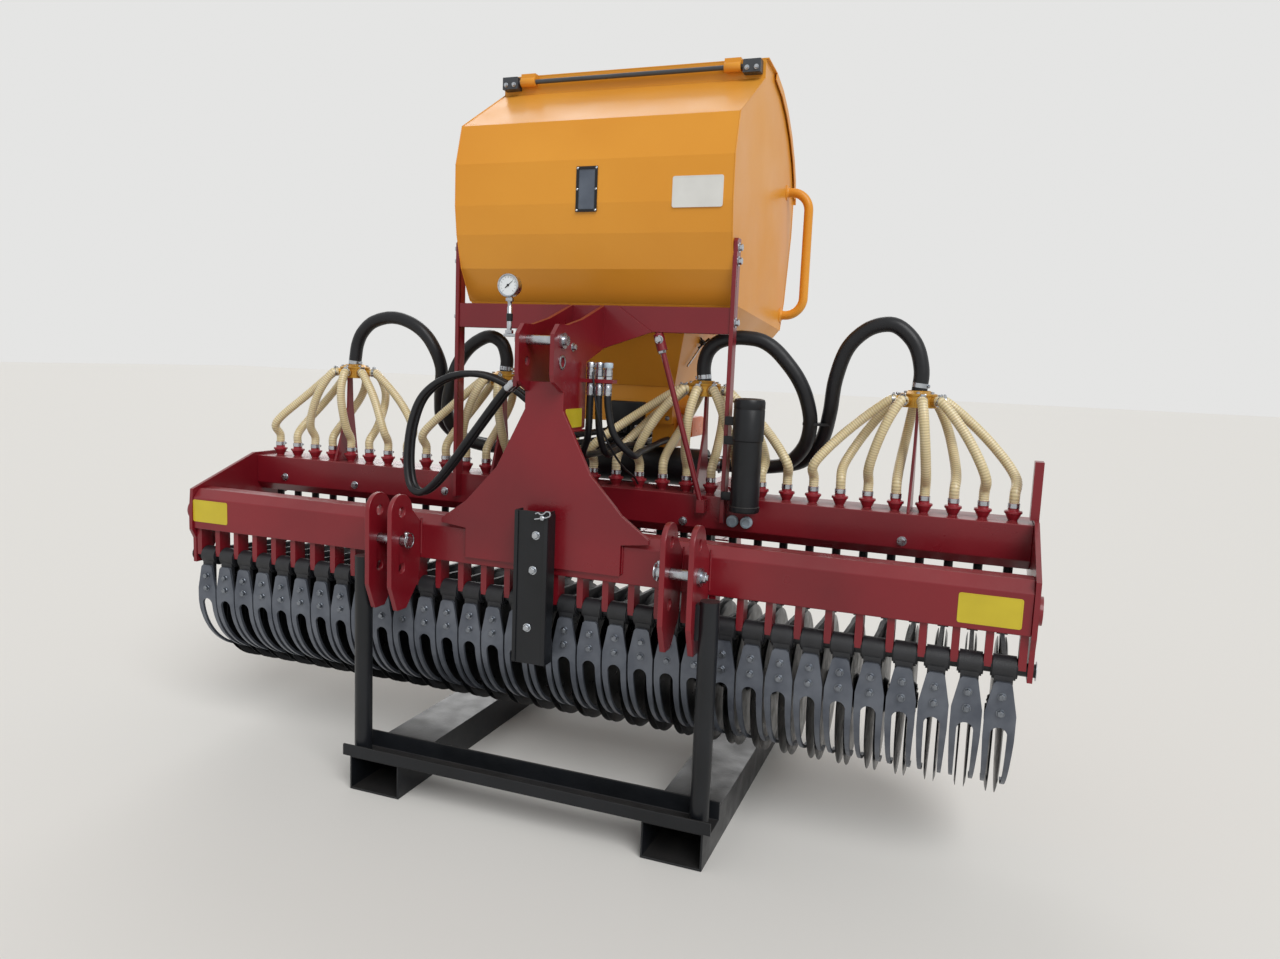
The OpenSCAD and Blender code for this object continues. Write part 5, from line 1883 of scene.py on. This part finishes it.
@dataclass
class FrameTrim:
    """Small fittings on the mast, the strut, the document tube, the steps and the coulters."""

    strut_top: Spot = (216, 230, 1353)
    strut_foot: Spot = (372, 228, 870)
    nut_down: float = 52.0
    strut_bolt: Spot = (227, 217, 1333)
    ear_bolt: Spot = (57, 6, 1300)
    bracket_x: float = 452.0
    bracket_y: float = 207.0
    bracket_heights: tuple[float, ...] = (1116, 1062, 905)
    tube_x: float = extent("document_tube").middle[0]
    tube_y: float = 190.0
    treads: tuple[tuple[float, float], ...] = ((960, 446), (930, 646))
    stud_reach: int = 264
    stud_step: int = 44
    stud_aside: float = 24.0
    arms_at: Spot = extent("arm_tube").middle
    bush_x: float = 27.9
    discs: Extent = extent("coulter_discs")
    disc_radius: float = 200.0
    disc_x: float = 24.0
    rivet_circle: float = 33.0

    def build(self) -> None:
        """Builds each fitting."""
        self.build_frame()
        self.build_tube()
        self.build_treads()
        self.build_coulters()

    def build_frame(self) -> None:
        """Builds the strut's lock nut, the bolts of strut and mast ear, and the tube's brackets."""
        top, foot = Vector(self.strut_top), Vector(self.strut_foot)
        along = (foot - top).normalized()
        nut = lathe([(11.4, 0), (12.4, 1), (12.4, 9), (11.4, 10), (7, 10), (7, 34), (6, 35)], 6)
        spread(nut, "strut_nut", [tuple(top + along * self.nut_down)], along)
        spread(HexBolt(17, 8, 12.5).build(), "strut_bolt", [self.strut_bolt], Axis.FRONT.value)
        spread(HexBolt(15, 8, 12).build(), "ear_bolt", [self.ear_bolt], Axis.X.value)
        bracket = broken(cube((34, 9, 24)), 2)
        stepped_face(bracket, Axis.FRONT.value, [(4, 0), (1, -1.5)])
        spots = [(self.bracket_x, self.bracket_y, z) for z in self.bracket_heights]
        spread(bracket, "tube_brackets", spots, Axis.Z.value, BLACK_ENAMEL)

    def build_tube(self) -> None:
        """Builds the cap and the foot of the document tube, their profiles at their real heights."""
        cap = lathe([(40.8, 1064), (43, 1066), (43, 1149), (42.2, 1150.4), (42.2, 1152.6), (43, 1154),
                     (43, 1172), (40.4, 1178.5), (33, 1181), (30, 1180), (8, 1180)], 44)
        foot = lathe([(40.5, 870), (42.4, 871.4), (42.4, 883), (40.6, 885)], 44)
        for piece, name in ((cap, "tube_cap"), (foot, "tube_foot")):
            spread(piece, name, [(self.tube_x, self.tube_y, 0)], Axis.Z.value, BLACK_POLY)

    def build_treads(self) -> None:
        """Builds the raised studs of the treads."""
        stud = lathe([(5.4, 0), (4.8, 1.4), (2.6, 2.2)], 10)
        across = range(-self.stud_reach, self.stud_reach + 1, self.stud_step)
        studs = [(x, y + aside, z) for y, z in self.treads for x in across
                 for aside in (-self.stud_aside, 0, self.stud_aside)]
        spread(stud, "tread_studs", studs, Axis.Z.value, RED_COAT)

    def build_coulters(self) -> None:
        """Builds the rubber bushes of the arms and the rivets of the discs."""
        bushes = [(x + side * self.bush_x, *self.arms_at[1:]) for x in ROWS.all() for side in SIDES]
        spread(ring(16.3, 8, 3.6, 22), "arm_bushes", bushes, Axis.X.value, RUBBER)
        rivet = lathe([(3.6, 0), (3.2, 1.2), (1.6, 1.9)], 8)
        hub_y, hub_z = self.discs.middle[1], self.discs.foot + self.disc_radius
        rivets, ways = [], []
        for x in ROWS.all():
            for side, way in zip(SIDES, OUTWARDS):
                for a in around(4, 45):
                    y, z = self.rivet_circle * math.cos(a), self.rivet_circle * math.sin(a)
                    rivets.append((x + side * self.disc_x, hub_y + y, hub_z + z))
                    ways.append(way)
        spread(rivet, "disc_rivets", rivets, ways, body=Body.DISCS)


def main() -> None:
    """Builds the sub-assemblies in order."""
    Viewpoint().build()
    Studio().build()
    dress_nodes()
    for assembly in (SeedLines(), AirLines(), OilLines(), HitchFittings(), Fasteners(), Gauge(), HopperTrim(),
                     MeterTrim(), FrameTrim()):
        assembly.build()


if __name__ == "__main__":
    main()
